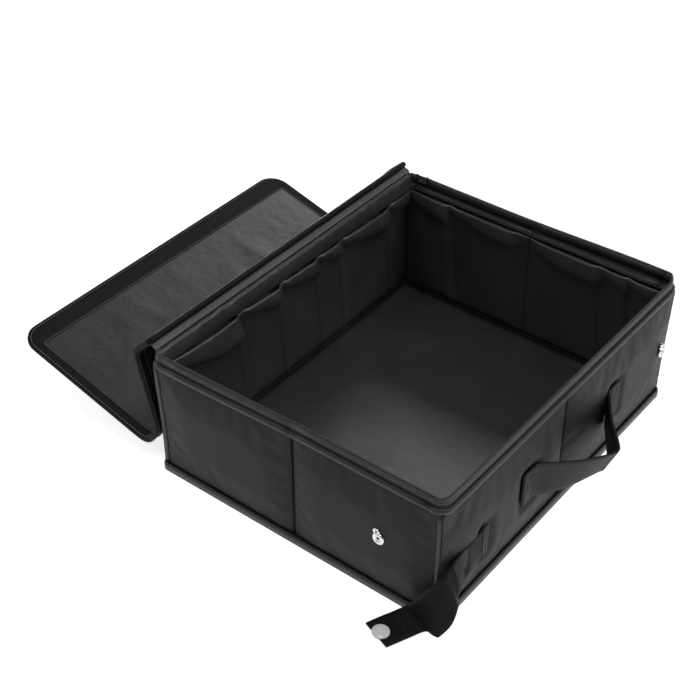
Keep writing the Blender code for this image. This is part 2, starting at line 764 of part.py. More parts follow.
def build_handle(front_joint):
    hinge = add_joint("handle_hinge", (0, -WALL_DEPTH / 2 - LAYER_GAP, HANDLE_TOP), front_joint)
    route = smooth_route(handle_route(), 4)
    handle = ribbon("handle", route, [Vector((0, 0, 1))] * len(route), HANDLE_WIDTH, WEB_THICKNESS)
    paint(handle, WEBBING)
    place(handle, Matrix.Identity(4), hinge)
    middle = HANDLE_TOP - HANDLE_WIDTH / 2
    left = HANDLE_LEFT - HANDLE_PATCH_LENGTH
    sewn_patch("handle_patch_left", left, HANDLE_PATCH_LENGTH, HANDLE_WIDTH, middle, front_joint)
    sewn_patch("handle_patch_right", HANDLE_RIGHT, HANDLE_PATCH_LENGTH, HANDLE_WIDTH, middle, front_joint)


def strap_edge(shares, root_height):
    corner = Vector((-WALL_LENGTH / 2, -WALL_DEPTH / 2, 0))
    wall = -LAYER_GAP - WEB_THICKNESS / 2
    points = [corner + Vector((STRAP_ROOT - LAYER_GAP, wall, root_height))]
    for left, back, up in shares:
        points.append(corner + Vector((-left * STRAP_TIP_LENGTH, back * STRAP_TIP_LENGTH, up * STRAP_TOP)))
    return smooth_route(points, 3)


def build_strap(front_joint):
    root_x = STRAP_ROOT - WALL_LENGTH / 2
    outside = -WALL_DEPTH / 2 - 2 * LAYER_GAP - WEB_THICKNESS
    hinge = add_joint("strap_hinge", (root_x, outside, 0), front_joint)
    upper = strap_edge(STRAP_UPPER_SHARES, STRAP_TOP)
    lower = strap_edge(STRAP_LOWER_SHARES, STRAP_TOP - STRAP_WIDTH)
    centres = [(a + b) / 2 for a, b in zip(upper, lower)]
    across = [(a - b).normalized() for a, b in zip(upper, lower)]
    strap = ribbon("strap_tail", centres, across, STRAP_WIDTH, WEB_THICKNESS)
    paint(strap, WEBBING)
    place(strap, Matrix.Identity(4), hinge)
    sewn_patch(
        "strap_patch", root_x, STRAP_PATCH_LENGTH, STRAP_WIDTH, STRAP_TOP - STRAP_WIDTH / 2, front_joint
    )

    # The snap sits in the strap's last, level stretch.
    start, end = centres[-4], centres[-1]
    run = (end - start).normalized()
    normal = across[-2].cross(run).normalized()
    normal = normal if normal.z > 0 else -normal
    middle = (start + end) / 2 + run * (end - start).length / 8
    seat = Matrix.Translation(middle) @ normal.to_track_quat("Z", "Y").to_matrix().to_4x4()
    rise = WEB_THICKNESS / 2 + LAYER_GAP
    cap = turned("snap_cap", cap_profile(), 24)
    paint(cap, CAP_GREY, PLASTIC_ROUGHNESS)
    place(cap, seat @ Matrix.Translation((0, 0, rise)), hinge)
    socket = turned("snap_socket", socket_profile(), 24)
    paint(socket, NICKEL, METAL_ROUGHNESS, 1.0)
    place(socket, seat @ Matrix.Translation((0, 0, -rise)), hinge)


# Snap fastener
def cap_profile():
    """A shallow dome on a flat foot, from the axis on top to the axis below."""
    rise, rim = CAP_HEIGHT * 0.7, CAP_HEIGHT * 0.3
    dome = [
        (CAP_RADIUS * math.sin(math.pi / 2 * step / 5), rim + rise * math.cos(math.pi / 2 * step / 5))
        for step in range(6)
    ]
    return (*dome, (CAP_RADIUS, 0), (0, 0))


def socket_profile():
    """A ring that faces down, closed towards the strap."""
    bore = STUD_POST_RADIUS + LAYER_GAP
    return (
        (0, 0), (SOCKET_RADIUS, 0), (SOCKET_RADIUS, -SOCKET_HEIGHT * 0.7),
        (SOCKET_RADIUS - SOCKET_HEIGHT * 0.3, -SOCKET_HEIGHT), (bore, -SOCKET_HEIGHT),
        (bore, -SOCKET_HEIGHT * 0.4), (0, -SOCKET_HEIGHT * 0.4),
    )


def stud_profile():
    """A rolled flange, a post with a waist and a hole in its end."""
    waist = STUD_POST_RADIUS * 0.85
    return (
        (0, STUD_FLANGE_HEIGHT), (STUD_HOLE_RADIUS, STUD_FLANGE_HEIGHT), (STUD_HOLE_RADIUS, STUD_POST_HEIGHT),
        (STUD_POST_RADIUS * 0.8, STUD_POST_HEIGHT), (STUD_POST_RADIUS, STUD_POST_HEIGHT * 0.8),
        (waist, STUD_POST_HEIGHT * 0.5), (waist, STUD_FLANGE_HEIGHT * 0.8),
        (STUD_FLANGE_RADIUS * 0.8, STUD_FLANGE_HEIGHT * 0.8), (STUD_FLANGE_RADIUS * 0.9, STUD_FLANGE_HEIGHT),
        (STUD_FLANGE_RADIUS, STUD_FLANGE_HEIGHT / 2), (STUD_FLANGE_RADIUS, 0), (0, 0),
    )


def build_stud(name, along, height, span, yaw, joint):
    """A stud whose post points out of the wall, seated on the padded face's highest point under it."""
    edge = max(abs(along - STUD_FLANGE_RADIUS), 0) if along > 0 else abs(along + STUD_FLANGE_RADIUS)
    seat = crowned(math.copysign(edge, along), height, span) - LAYER_GAP
    stud = turned(name, stud_profile(), 24)
    paint(stud, NICKEL, METAL_ROUGHNESS, 1.0)
    outwards = Matrix.Rotation(math.pi / 2, 4, "X")
    place(stud, wall_frame(yaw) @ Matrix.Translation((along, seat, height)) @ outwards, joint)


# Zip slider on the right wall, at the end where the zip starts
def build_slider(joint):
    bead_out = ZIP_TAPE_INSET - ZIP_BEAD_PROUD
    bead_in = ZIP_TAPE_INSET + ZIP_TAPE_THICKNESS + ZIP_BEAD_PROUD
    outer, inner = bead_out - LAYER_GAP, bead_in + LAYER_GAP
    roof, top = WALL_HEIGHT + LAYER_GAP, WALL_HEIGHT + LAYER_GAP + SLIDER_PLATE
    foot = WALL_HEIGHT - SLIDER_DROP
    section = (
        (outer - SLIDER_OUTER_PLATE, foot), (outer, foot), (outer, roof), (inner, roof), (inner, foot),
        (inner + SLIDER_PLATE, foot), (inner + SLIDER_PLATE, top), (outer - SLIDER_OUTER_PLATE, top),
    )
    along = WALL_DEPTH / 2 - SLIDER_FROM_CORNER
    frame = wall_frame(RIGHT_YAW)
    slide = add_joint("zip_slide", frame @ Vector((along, 0, WALL_HEIGHT)), joint)
    # The section's x and y become the wall's inward y and its z.
    stand = Matrix(((0, 0, 1, 0), (1, 0, 0, 0), (0, 1, 0, 0), (0, 0, 0, 1)))
    slider = plate("zip_slider", section, SLIDER_LENGTH)
    paint(slider, NICKEL, METAL_ROUGHNESS, 1.0)
    place(slider, frame @ Matrix.Translation((along, 0, 0)) @ stand, slide)

    # The pull hangs by its round end and swings along the wall.
    hang = outer - SLIDER_OUTER_PLATE - LAYER_GAP
    pivot = WALL_HEIGHT - SLIDER_DROP / 2
    hinge = add_joint("zip_pull_hinge", frame @ Vector((along, hang, pivot)), slide)
    pull = plate("zip_pull", outline_points(PULL_WIDTH, PULL_LENGTH, PULL_WIDTH / 2, 6), PULL_THICKNESS)
    paint(pull, NICKEL, METAL_ROUGHNESS, 1.0)
    middle = (along, hang - PULL_THICKNESS / 2, pivot + PULL_WIDTH / 2 - PULL_LENGTH / 2)
    place(pull, frame @ Matrix.Translation(middle) @ Matrix.Rotation(math.pi / 2, 4, "X"), hinge)


# Where the walls turn
def fold_joints():
    """The upright axes that let the side walls crease inwards and the front wall travel back."""
    x, y = WALL_LENGTH / 2 - PIVOT_INSET, WALL_DEPTH / 2 - PIVOT_DEPTH
    crease_x = WALL_LENGTH / 2 + CREASE_HALF_GAP
    left_rear = add_joint("left_rear_hinge", (-x, y, 0))
    left_front = add_joint("left_crease", (-crease_x, 0, 0), left_rear)
    front = add_joint("front_hinge", (-x, -y, 0), left_front)
    right_rear = add_joint("right_rear_hinge", (x, y, 0))
    right_front = add_joint("right_crease", (crease_x, 0, 0), right_rear)
    return left_rear, left_front, front, right_rear, right_front


# Build
build_foot()
build_long_wall("back", BACK_YAW, folds(BACK_FOLD_SHARES, WALL_LENGTH / 2, BACK_FOLD_HEIGHT))
rim("back_rim", rim_path(BACK_YAW), back_rim_section(), BLACK_TAPE, BACK_YAW)

LEFT_REAR, LEFT_FRONT, FRONT, RIGHT_REAR, RIGHT_FRONT = fold_joints()
SIDE_FOLDS = folds(RIGHT_FOLD_SHARES, WALL_DEPTH / 2, SIDE_FOLD_HEIGHT)
build_side_half("left_rear", -1, SIDE_FOLDS, LEFT_YAW, LEFT_REAR)
build_side_half("left_front", 1, SIDE_FOLDS, LEFT_YAW, LEFT_FRONT)
build_side_half("right_rear", 1, SIDE_FOLDS, RIGHT_YAW, RIGHT_REAR)
build_side_half("right_front", -1, SIDE_FOLDS, RIGHT_YAW, RIGHT_FRONT)
build_stud(
    "left_stud", WALL_DEPTH / 2 - LEFT_STUD_FROM_CORNER, LEFT_STUD_HEIGHT, half_span(1), LEFT_YAW, LEFT_FRONT
)

build_long_wall("front", FRONT_YAW, folds(FRONT_FOLD_SHARES, WALL_LENGTH / 2, SIDE_FOLD_HEIGHT), FRONT)
front_section = tape_section(RIM_TAPE_BOTTOM, RIM_TAPE_TOP)
rim("front_rim_binding", rim_path(FRONT_YAW), front_section, BLACK_TAPE, FRONT_YAW, FRONT)
rim("front_zip_tape", rim_path(FRONT_YAW), zip_section(), ZIP_BLACK, FRONT_YAW, FRONT)
build_stud(
    "front_stud", WALL_LENGTH / 2 - FRONT_STUD_FROM_CORNER, FRONT_STUD_HEIGHT, long_span(1), FRONT_YAW, FRONT
)
build_handle(FRONT)
build_strap(FRONT)
build_slider(RIGHT_REAR)
build_lid()
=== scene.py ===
# %% [markdown]
# # A foldable litter box of black cloth
#
# The real box is sewn from woven cloth over stiff boards. Its four walls fold flat, a soft lid hangs
# zipped open behind the back wall, and a handle and a strap of webbing are sewn to the front. This script
# builds the looks of each piece round the solids of the CAD model, one piece or one finish in each step.

# %% Start: the tools and the frame
import math

import bmesh
import bpy
import numpy as np
from mathutils import Matrix, Vector, noise


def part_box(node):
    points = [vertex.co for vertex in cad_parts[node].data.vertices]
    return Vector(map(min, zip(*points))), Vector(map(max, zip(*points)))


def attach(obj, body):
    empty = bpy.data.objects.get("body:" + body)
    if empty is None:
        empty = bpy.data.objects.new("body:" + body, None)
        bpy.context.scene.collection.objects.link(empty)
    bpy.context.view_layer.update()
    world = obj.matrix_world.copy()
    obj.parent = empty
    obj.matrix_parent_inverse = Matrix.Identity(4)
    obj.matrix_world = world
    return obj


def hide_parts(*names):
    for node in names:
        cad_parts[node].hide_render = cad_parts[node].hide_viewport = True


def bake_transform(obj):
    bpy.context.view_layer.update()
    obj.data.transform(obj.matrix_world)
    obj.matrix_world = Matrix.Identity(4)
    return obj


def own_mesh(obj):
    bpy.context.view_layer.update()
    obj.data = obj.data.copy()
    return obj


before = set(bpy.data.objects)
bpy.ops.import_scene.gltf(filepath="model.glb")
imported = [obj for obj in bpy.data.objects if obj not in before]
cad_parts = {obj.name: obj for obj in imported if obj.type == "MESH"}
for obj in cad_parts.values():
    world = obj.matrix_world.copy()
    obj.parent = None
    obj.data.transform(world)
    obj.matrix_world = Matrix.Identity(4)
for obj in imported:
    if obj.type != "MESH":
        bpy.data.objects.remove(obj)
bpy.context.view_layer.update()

# %% [markdown]
# ## Sizes
#
# The box's own sizes, in metres, as the CAD model has them. X runs along the front wall, Y from the front
# wall to the back, and Z up. Naming them once keeps each later step free of loose numbers.

# %% Sizes of the walls, the rim and the lid
LENGTH, DEPTH, HEIGHT = 0.400, 0.330, 0.150
WALL = 0.0075
FOOT_TOP, WALL_TOP = 0.0083, 0.1317
RIM_LOW, RIM_MIDDLE = 0.1320, 0.1380

# Measured from the middle of a wall: where a half of a side wall and a field of a long wall start and end.
HALF_START, HALF_END = 0.0009, 0.1572
LONG_START, LONG_END = 0.0008, 0.1985
LINING_END = 0.1967
FLOOR_HALF = (0.1922, 0.1572)

# The lid's two joints and the soft S that it hangs in, as points of y and z.
LID_HINGE, LID_BEND = (0.168, 0.1547), (0.182, 0.013)
LID_LINE = [(0.168, 0.1547), (0.190, 0.134), (0.1685, 0.043), (0.187, 0.020), (0.361, 0.068)]
LID_BAND, LID_SIDE_BAND, LID_CORNER = 0.025, 0.012, 0.022

# How far each wall is turned from the front one, in degrees.
FRONT, RIGHT, BACK, LEFT = 0, 90, 180, 270

# How finely long pieces are divided: long straight runs, tapes, and strips that bend.
LONG_STEP, TAPE_STEP, BEND_STEP = 0.02, 0.01, 0.001
print("box", LENGTH, "x", DEPTH, "x", HEIGHT)

# %% [markdown]
# ## Camera, floor and light
#
# The camera stands where the picture was taken, to the left of the front wall and above it. Black cloth
# shows its form only in its soft highlights, so the world is dim, one large light stands high in front of
# the box, and weaker ones stand above it and graze it from the right, from behind and from the left. The
# floor glows white by itself, as a studio floor does in a picture.

# %% Camera
CAMERA_PLACE = Vector((-0.9079, -0.6141, 0.9762))
CAMERA_LOOK = Vector((0.618, 0.478, -0.624))
CAMERA_ROLL = math.radians(-0.2)
FOCAL_PIXELS, PICTURE_PIXELS = 1442, 700


def add_object(name, data):
    """Puts data into the scene as a new object."""
    obj = bpy.data.objects.new(name, data)
    bpy.context.scene.collection.objects.link(obj)
    return obj


def aim_camera(place, forward, roll, focal_pixels, picture_pixels):
    data = bpy.data.cameras.new("view")
    camera = add_object("view", data)
    forward = forward.normalized()
    right = forward.cross(Vector((0, 0, 1))).normalized()
    down = forward.cross(right)
    level = right * math.cos(roll) + down * math.sin(roll)
    up = right * math.sin(roll) - down * math.cos(roll)
    turn = Matrix((level, up, -forward)).transposed().to_4x4()
    camera.matrix_world = Matrix.Translation(place) @ turn
    data.sensor_width = 36
    data.lens = focal_pixels / picture_pixels * data.sensor_width
    bpy.context.scene.camera = camera
    print("lens", round(data.lens, 1), "mm")


aim_camera(CAMERA_PLACE, CAMERA_LOOK, CAMERA_ROLL, FOCAL_PIXELS, PICTURE_PIXELS)

# %% Floor and light
FLOOR_HALF_SIZE = 6
WORLD_STRENGTH = 0.22

# Name, place, target, diameter in metres and power in watts.
LIGHTS = (
    ("front", (0.7, -2.4, 1.9), (0, 0, 0.05), 1.4, 42),
    ("right", (2.2, 0.9, 1.5), (0, 0, 0.05), 0.9, 20),
    ("behind", (-0.6, 2.4, 1.6), (0, 0, 0.05), 0.9, 16),
    ("light_top", (-0.5, -0.5, 2.5), (0, 0.05, 0.1), 0.7, 22),
    ("light_left", (-1.6, 0.7, 2.2), (0.1, 0, 0.1), 0.9, 9),
)


def area_light(name, place, target, size, power):
    data = bpy.data.lights.new(name, "AREA")
    data.shape, data.size, data.energy = "DISK", size, power
    light = add_object(name, data)
    light.location = place
    light.rotation_euler = (Vector(target) - Vector(place)).to_track_quat("-Z", "Y").to_euler()


def pale_floor(half):
    mesh = bpy.data.meshes.new("floor")
    corners = [(x * half, y * half, 0) for x, y in ((-1, -1), (1, -1), (1, 1), (-1, 1))]
    mesh.from_pydata(corners, [], [(0, 1, 2, 3)])
    floor = add_object("floor", mesh)
    paint = bpy.data.materials.new("floor_paint")
    paint.use_nodes = True
    shader = paint.node_tree.nodes["Principled BSDF"]
    shader.inputs["Base Color"].default_value = (0.5, 0.5, 0.5, 1)
    shader.inputs["Roughness"].default_value = 0.8
    shader.inputs["Emission Color"].default_value = (1, 1, 1, 1)
    shader.inputs["Emission Strength"].default_value = 0.8
    mesh.materials.append(paint)


pale_floor(FLOOR_HALF_SIZE)
for light in LIGHTS:
    area_light(*light)
print(len(LIGHTS), "lights")
world = bpy.data.worlds.new("soft_sky")
world.use_nodes = True
world.node_tree.nodes["Background"].inputs["Color"].default_value = (1, 1, 1, 1)
world.node_tree.nodes["Background"].inputs["Strength"].default_value = WORLD_STRENGTH
bpy.context.scene.world = world
bpy.context.scene.view_settings.view_transform = "Standard"

# %% [markdown]
# ## Shader groups
#
# Three effects come back in nearly every finish: threads that cross, a slow unevenness in cloth that has
# been folded and handled, and pale lint. Each is a node group with named inputs, built once. The weave
# reads the piece's own UV map, which is in metres, so that a thread is as wide on the lid as on a wall. The
# other two read the place of each point.

# %% Helpers for node trees
def join(tree, value, socket):
    """Links a node's output to a socket, or sets the socket to a plain value."""
    if isinstance(value, bpy.types.NodeSocket):
        tree.links.new(value, socket)
    else:
        socket.default_value = value


def calc(tree, operation, *values, clamp=False):
    node = tree.nodes.new("ShaderNodeMath")
    node.operation, node.use_clamp = operation, clamp
    for value, socket in zip(values, node.inputs):
        join(tree, value, socket)
    return node.outputs[0]


def mix_colour(tree, share, first, second):
    node = tree.nodes.new("ShaderNodeMix")
    node.data_type = "RGBA"
    join(tree, share, node.inputs["Factor"])
    join(tree, first, node.inputs["A"])
    join(tree, second, node.inputs["B"])
    return node.outputs["Result"]


def new_group(name, inputs, outputs):
    """An empty shader group with its sockets. Each socket is (name, kind, default)."""
    group = bpy.data.node_groups.new(name, "ShaderNodeTree")
    for in_out, sockets in (("INPUT", inputs), ("OUTPUT", outputs)):
        for label, kind, *default in sockets:
            socket = group.interface.new_socket(label, in_out=in_out, socket_type="NodeSocket" + kind)
            if default:
                socket.default_value = default[0]
    return group, group.nodes.new("NodeGroupInput"), group.nodes.new("NodeGroupOutput")


def noise_value(tree, vector, scale, detail=2.0):
    node = tree.nodes.new("ShaderNodeTexNoise")
    join(tree, vector, node.inputs["Vector"])
    join(tree, scale, node.inputs["Scale"])
    node.inputs["Detail"].default_value = detail
    return node.outputs["Fac"]


# %% [markdown]
# Woven cloth is a grid of threads. A picture of it would blur when it is looked at closely, so two sine
# waves draw the threads at any size, and the sign of their product says which thread lies on top. The group
# gives both the colour and the height. The colour is painted shade in the valleys between threads and painted
# highlight on their crowns, so that it fits the relief of each thread.

# %% The weave: threads that pass over and under each other
def build_weave():
    group, start, end = new_group(
        "woven_threads",
        [("Thread", "Float", 0.0006), ("Stretch", "Float", 1.0), ("Valley", "Color"), ("Crown", "Color")],
        [("Color", "Color"), ("Height", "Float")],
    )
    uv = group.nodes.new("ShaderNodeUVMap")
    uv.uv_map = "cloth"
    split = group.nodes.new("ShaderNodeSeparateXYZ")
    group.links.new(uv.outputs["UV"], split.inputs[0])
    turns = calc(group, "DIVIDE", math.pi, start.outputs["Thread"])
    u = calc(group, "MULTIPLY", split.outputs["X"], turns)
    v = calc(group, "DIVIDE", calc(group, "MULTIPLY", split.outputs["Y"], turns), start.outputs["Stretch"])
    wave_u, wave_v = calc(group, "SINE", u), calc(group, "SINE", v)
    crossing_sharpness = 3.0
    over = calc(group, "MULTIPLY", calc(group, "MULTIPLY", wave_u, wave_v), crossing_sharpness)
    over = calc(group, "MINIMUM", calc(group, "MAXIMUM", over, -1.0), 1.0)
    share = calc(group, "MULTIPLY_ADD", over, 0.5, 0.5)
    warp = calc(group, "MULTIPLY", calc(group, "ABSOLUTE", wave_u), share)
    weft = calc(group, "MULTIPLY", calc(group, "ABSOLUTE", wave_v), calc(group, "SUBTRACT", 1.0, share))
    height = calc(group, "ADD", warp, weft)
    colour = mix_colour(group, height, start.outputs["Valley"], start.outputs["Crown"])
    group.links.new(colour, end.inputs["Color"])
    group.links.new(height, end.inputs["Height"])
    return group


weave_group = build_weave()

# %% [markdown]
# A box that is folded and carried is never evenly black. Slow noise makes paler and darker areas a few
# centimetres wide, and finer noise makes rumples. As every piece has its origin at the same spot, both pass
# on from one piece to the next.

# %% The handled look: slow changes of tone, and small rumples
def build_handling():
    group, start, end = new_group(
        "handled_cloth",
        [("Size", "Float", 0.05), ("Rumple Size", "Float", 0.012)],
        [("Tone", "Float"), ("Rumple", "Float")],
    )
    place = group.nodes.new("ShaderNodeTexCoord").outputs["Object"]
    slow = noise_value(group, place, calc(group, "DIVIDE", 1.0, start.outputs["Size"]), 3.0)
    fine = noise_value(group, place, calc(group, "DIVIDE", 1.0, start.outputs["Rumple Size"]), 3.0)
    group.links.new(slow, end.inputs["Tone"])
    group.links.new(fine, end.inputs["Rumple"])
    return group


handling_group = build_handling()

# %% [markdown]
# Black cloth shows every speck of lint. Fine noise that is cut off high up leaves a few small specks, and
# slow noise gathers them in drifts. The group gives only a mask, and each cloth decides how much of it
# shows.

# %% Lint and dust: pale specks that cloth holds on to
LINT_THRESHOLD, LINT_EDGE, LINT_DRIFTS = 0.66, 9.0, 14.0


def build_lint():
    sizes = [("Amount", "Float", 0.2), ("Speck", "Float", 0.0012)]
    group, start, end = new_group("lint", sizes, [("Mask", "Float")])
    place = group.nodes.new("ShaderNodeTexCoord").outputs["Object"]
    specks = noise_value(group, place, calc(group, "DIVIDE", 1.0, start.outputs["Speck"]), 1.0)
    drifts = noise_value(group, place, LINT_DRIFTS)
    sparse = calc(group, "MULTIPLY", calc(group, "SUBTRACT", specks, LINT_THRESHOLD), LINT_EDGE, clamp=True)
    gathered_specks = calc(group, "MULTIPLY", sparse, drifts)
    mask = calc(group, "MULTIPLY", gathered_specks, start.outputs["Amount"], clamp=True)
    group.links.new(mask, end.inputs["Mask"])
    return group


lint_group = build_lint()

# %% [markdown]
# ## Finishes
#
# All the cloths share one recipe: crossing threads for colour and fine relief, a slow change of tone, small
# rumples, and a little lint. They differ in thread, colour, gloss and relief, as the real ones do.

# %% A cloth finish from the shared groups
LINT_COLOUR = (0.42, 0.41, 0.39, 1)
LINT_AMOUNT = 0.12
TONE_LOW, TONE_RANGE = 0.65, 0.7
CLOTH_GLOSS_RANGE = 0.16
RUMPLE_DEPTH = 0.0012


def cloth_finish(name, dark, light, thread, gloss, stretch=1.0, rumple=0.3, relief=0.25, shine=0.3):
    """Thread is a thread's width in metres, and gloss the middle of the roughness."""
    material = bpy.data.materials.new(name)
    material.use_nodes = True
    tree = material.node_tree
    shader = tree.nodes["Principled BSDF"]
    weave, handling, dust = (tree.nodes.new("ShaderNodeGroup") for _ in range(3))
    weave.node_tree, handling.node_tree, dust.node_tree = weave_group, handling_group, lint_group
    weave.inputs["Thread"].default_value = thread
    weave.inputs["Stretch"].default_value = stretch
    # The threads' valleys get the dark colour as painted shade, and their crowns the light one as painted
    # highlight.
    weave.inputs["Valley"].default_value = (*dark, 1)
    weave.inputs["Crown"].default_value = (*light, 1)
    dust.inputs["Amount"].default_value = LINT_AMOUNT
    tone = calc(tree, "MULTIPLY_ADD", handling.outputs["Tone"], TONE_RANGE, TONE_LOW)
    toned = tree.nodes.new("ShaderNodeVectorMath")
    toned.operation = "SCALE"
    tree.links.new(weave.outputs["Color"], toned.inputs[0])
    tree.links.new(tone, toned.inputs["Scale"])
    colour = mix_colour(tree, dust.outputs["Mask"], toned.outputs[0], LINT_COLOUR)
    tree.links.new(colour, shader.inputs["Base Color"])
    lowest = gloss - CLOTH_GLOSS_RANGE / 2
    rough = calc(tree, "MULTIPLY_ADD", handling.outputs["Tone"], CLOTH_GLOSS_RANGE, lowest)
    tree.links.new(rough, shader.inputs["Roughness"])
    shader.inputs["Specular IOR Level"].default_value = shine
    rumpled = tree.nodes.new("ShaderNodeBump")
    rumpled.inputs["Strength"].default_value = rumple
    rumpled.inputs["Distance"].default_value = RUMPLE_DEPTH
    tree.links.new(handling.outputs["Rumple"], rumpled.inputs["Height"])
    threads = tree.nodes.new("ShaderNodeBump")
    threads.inputs["Strength"].default_value = relief
    threads.inputs["Distance"].default_value = thread / 3
    tree.links.new(weave.outputs["Height"], threads.inputs["Height"])
    tree.links.new(rumpled.outputs["Normal"], threads.inputs["Normal"])
    tree.links.new(threads.outputs["Normal"], shader.inputs["Normal"])
    return material


# %% [markdown]
# The outer cloth is matt and nearly black. The linings are thinner and catch more light, the webbing has
# coarse threads, and the tapes have threads that are longer one way than the other. Each is one call of the
# recipe.

# %% The cloths
def grey(value):
    """A grey that is a very little blue, as black cloth is."""
    return (value, value, value * 1.02)


outer_cloth = cloth_finish("outer_cloth", grey(0.005), grey(0.015), 0.0006, 0.5, shine=0.13)
lining_cloth = cloth_finish("lining_cloth", grey(0.013), grey(0.027), 0.0004, 0.32, shine=0.45)
# rim_cloth is several times paler than the other black cloths: partly the band's own lighter tape, partly
# painted highlight for the light on its upper side.
rim_cloth = cloth_finish(
    "rim_cloth", grey(0.030), grey(0.085), 0.0010, 0.4, 1.6, relief=0.5, rumple=0.5, shine=0.4
)
lid_cloth = cloth_finish("lid_cloth", grey(0.016), grey(0.033), 0.0004, 0.36, rumple=0.4, shine=0.26)
binding_cloth = cloth_finish("binding_cloth", grey(0.005), grey(0.017), 0.0009, 0.4, 0.5)
zip_cloth = cloth_finish("zip_cloth", grey(0.007), grey(0.026), 0.0007, 0.38, 2.0, shine=0.35)
webbing_cloth = cloth_finish(
    "webbing_cloth", grey(0.006), grey(0.022), 0.0013, 0.5, 0.6, relief=0.5, shine=0.16
)
# tape_cloth is the darkest cloth: the strap's and the lid border's own near-black, and on the fold tapes and
# the hinge tape also painted shade.
tape_cloth = cloth_finish("tape_cloth", grey(0.002), grey(0.009), 0.0013, 0.5, 0.6, relief=0.5, shine=0.07)
foam_cloth = cloth_finish("foam_sheet", grey(0.42), grey(0.60), 0.0016, 0.9, relief=0.2, shine=0.2)

# %% [markdown]
# The boards are pressed grey card, never seen from outside. The snap's studs and the zip's slider are
# nickel plated, so their colour changes little and their gloss much, with fine scratches. The cap on the
# strap is painted. Thread and the zip's coil are smooth and slightly glossy. One recipe makes all five,
# since each is one stuff with a grain.

# %% Card, metal, thread and paint
MARK_DEPTH = 0.0002
HARD_GLOSS_RANGE = 0.2


def hard_finish(name, dark, light, metallic, gloss, grain, relief):
    material = bpy.data.materials.new(name)
    material.use_nodes = True
    tree = material.node_tree
    shader = tree.nodes["Principled BSDF"]
    place = tree.nodes.new("ShaderNodeTexCoord").outputs["Object"]
    cloudy = noise_value(tree, place, 1 / grain, 4.0)
    marks = noise_value(tree, place, 6 / grain, 2.0)
    tree.links.new(mix_colour(tree, cloudy, (*dark, 1), (*light, 1)), shader.inputs["Base Color"])
    rough = calc(tree, "MULTIPLY_ADD", marks, HARD_GLOSS_RANGE, gloss - HARD_GLOSS_RANGE / 2)
    tree.links.new(rough, shader.inputs["Roughness"])
    shader.inputs["Metallic"].default_value = metallic
    bump = tree.nodes.new("ShaderNodeBump")
    bump.inputs["Strength"].default_value = relief
    bump.inputs["Distance"].default_value = MARK_DEPTH
    tree.links.new(marks, bump.inputs["Height"])
    tree.links.new(bump.outputs["Normal"], shader.inputs["Normal"])
    return material


card = hard_finish("grey_card", (0.13, 0.125, 0.12), (0.24, 0.23, 0.22), 0.0, 0.85, 0.004, 0.4)
nickel = hard_finish("nickel_plate", (0.62, 0.62, 0.61), (0.78, 0.78, 0.77), 1.0, 0.26, 0.003, 0.15)
thread = hard_finish("sewing_thread", (0.05, 0.05, 0.051), (0.10, 0.10, 0.101), 0.0, 0.5, 0.002, 0.2)
coil_plastic = hard_finish(
    "zip_coil", (0.010, 0.010, 0.0102), (0.030, 0.030, 0.0306), 0.0, 0.35, 0.002, 0.1
)
cap_paint = hard_finish("cap_paint", (0.40, 0.41, 0.40), (0.50, 0.51, 0.50), 0.0, 0.32, 0.004, 0.08)
print(len(bpy.data.materials), "finishes, with the floor's")

# %% [markdown]
# ## Mesh helpers
#
# Most pieces are cloth, so one helper lays a grid of points by a rule and keeps the two lengths along it as
# the UV map. Working in those lengths means that the threads come out even, however the sheet is bent.

# %% A grid of cloth
def steps(start, end, size):
    """Even places from start to end, about size apart."""
    count = max(1, round(abs(end - start) / size))
    return [start + (end - start) * i / count for i in range(count + 1)]


def open_piece(name, bm, finish):
    """Makes a smooth-shaded object with one finish from the points and faces in bm."""
    mesh = bpy.data.meshes.new(name)
    bm.to_mesh(mesh)
    bm.free()
    mesh.shade_smooth()
    mesh.materials.append(finish)
    print(name, len(mesh.vertices), "points")
    return add_object(name, mesh)


def closed_piece(name, bm, finish):
    """The same for a closed skin, whose faces are first turned outwards."""
    bmesh.ops.recalc_face_normals(bm, faces=bm.faces)
    return open_piece(name, bm, finish)


def sheet_of_rows(name, rows, us, vs, finish):
    """Joins rows of points into a sheet. In its UV map us run along a row and vs from row to row."""
    bm = bmesh.new()
    layer = bm.loops.layers.uv.new("cloth")
    verts = [[bm.verts.new(point) for point in row] for row in rows]
    for j in range(len(vs) - 1):
        for i in range(len(us) - 1):
            corners = ((i, j), (i + 1, j), (i + 1, j + 1), (i, j + 1))
            face = bm.faces.new([verts[b][a] for a, b in corners])
            for loop, (a, b) in zip(face.loops, corners):
                loop[layer].uv = (us[a], vs[b])
    return open_piece(name, bm, finish)


def cloth_grid(name, us, vs, place, finish):
    """A sheet whose points are place(u, v)."""
    return sheet_of_rows(name, [[place(u, v) for u in us] for v in vs], us, vs, finish)


def thicken(obj, thickness, offset=0.0):
    """Gives a sheet its thickness, on both sides of it unless an offset puts it on one."""
    solid = obj.modifiers.new("cloth", "SOLIDIFY")
    solid.thickness, solid.offset = thickness, offset
    solid.use_even_offset = True
    return obj


# %% [markdown]
# Tapes, bindings and the zip have the same outline all along, so a closed section is carried along a line
# and its rings are joined. A curve with a bevel could do it too, but rings of points keep their corners
# square where the line turns, and can be gathered one by one.

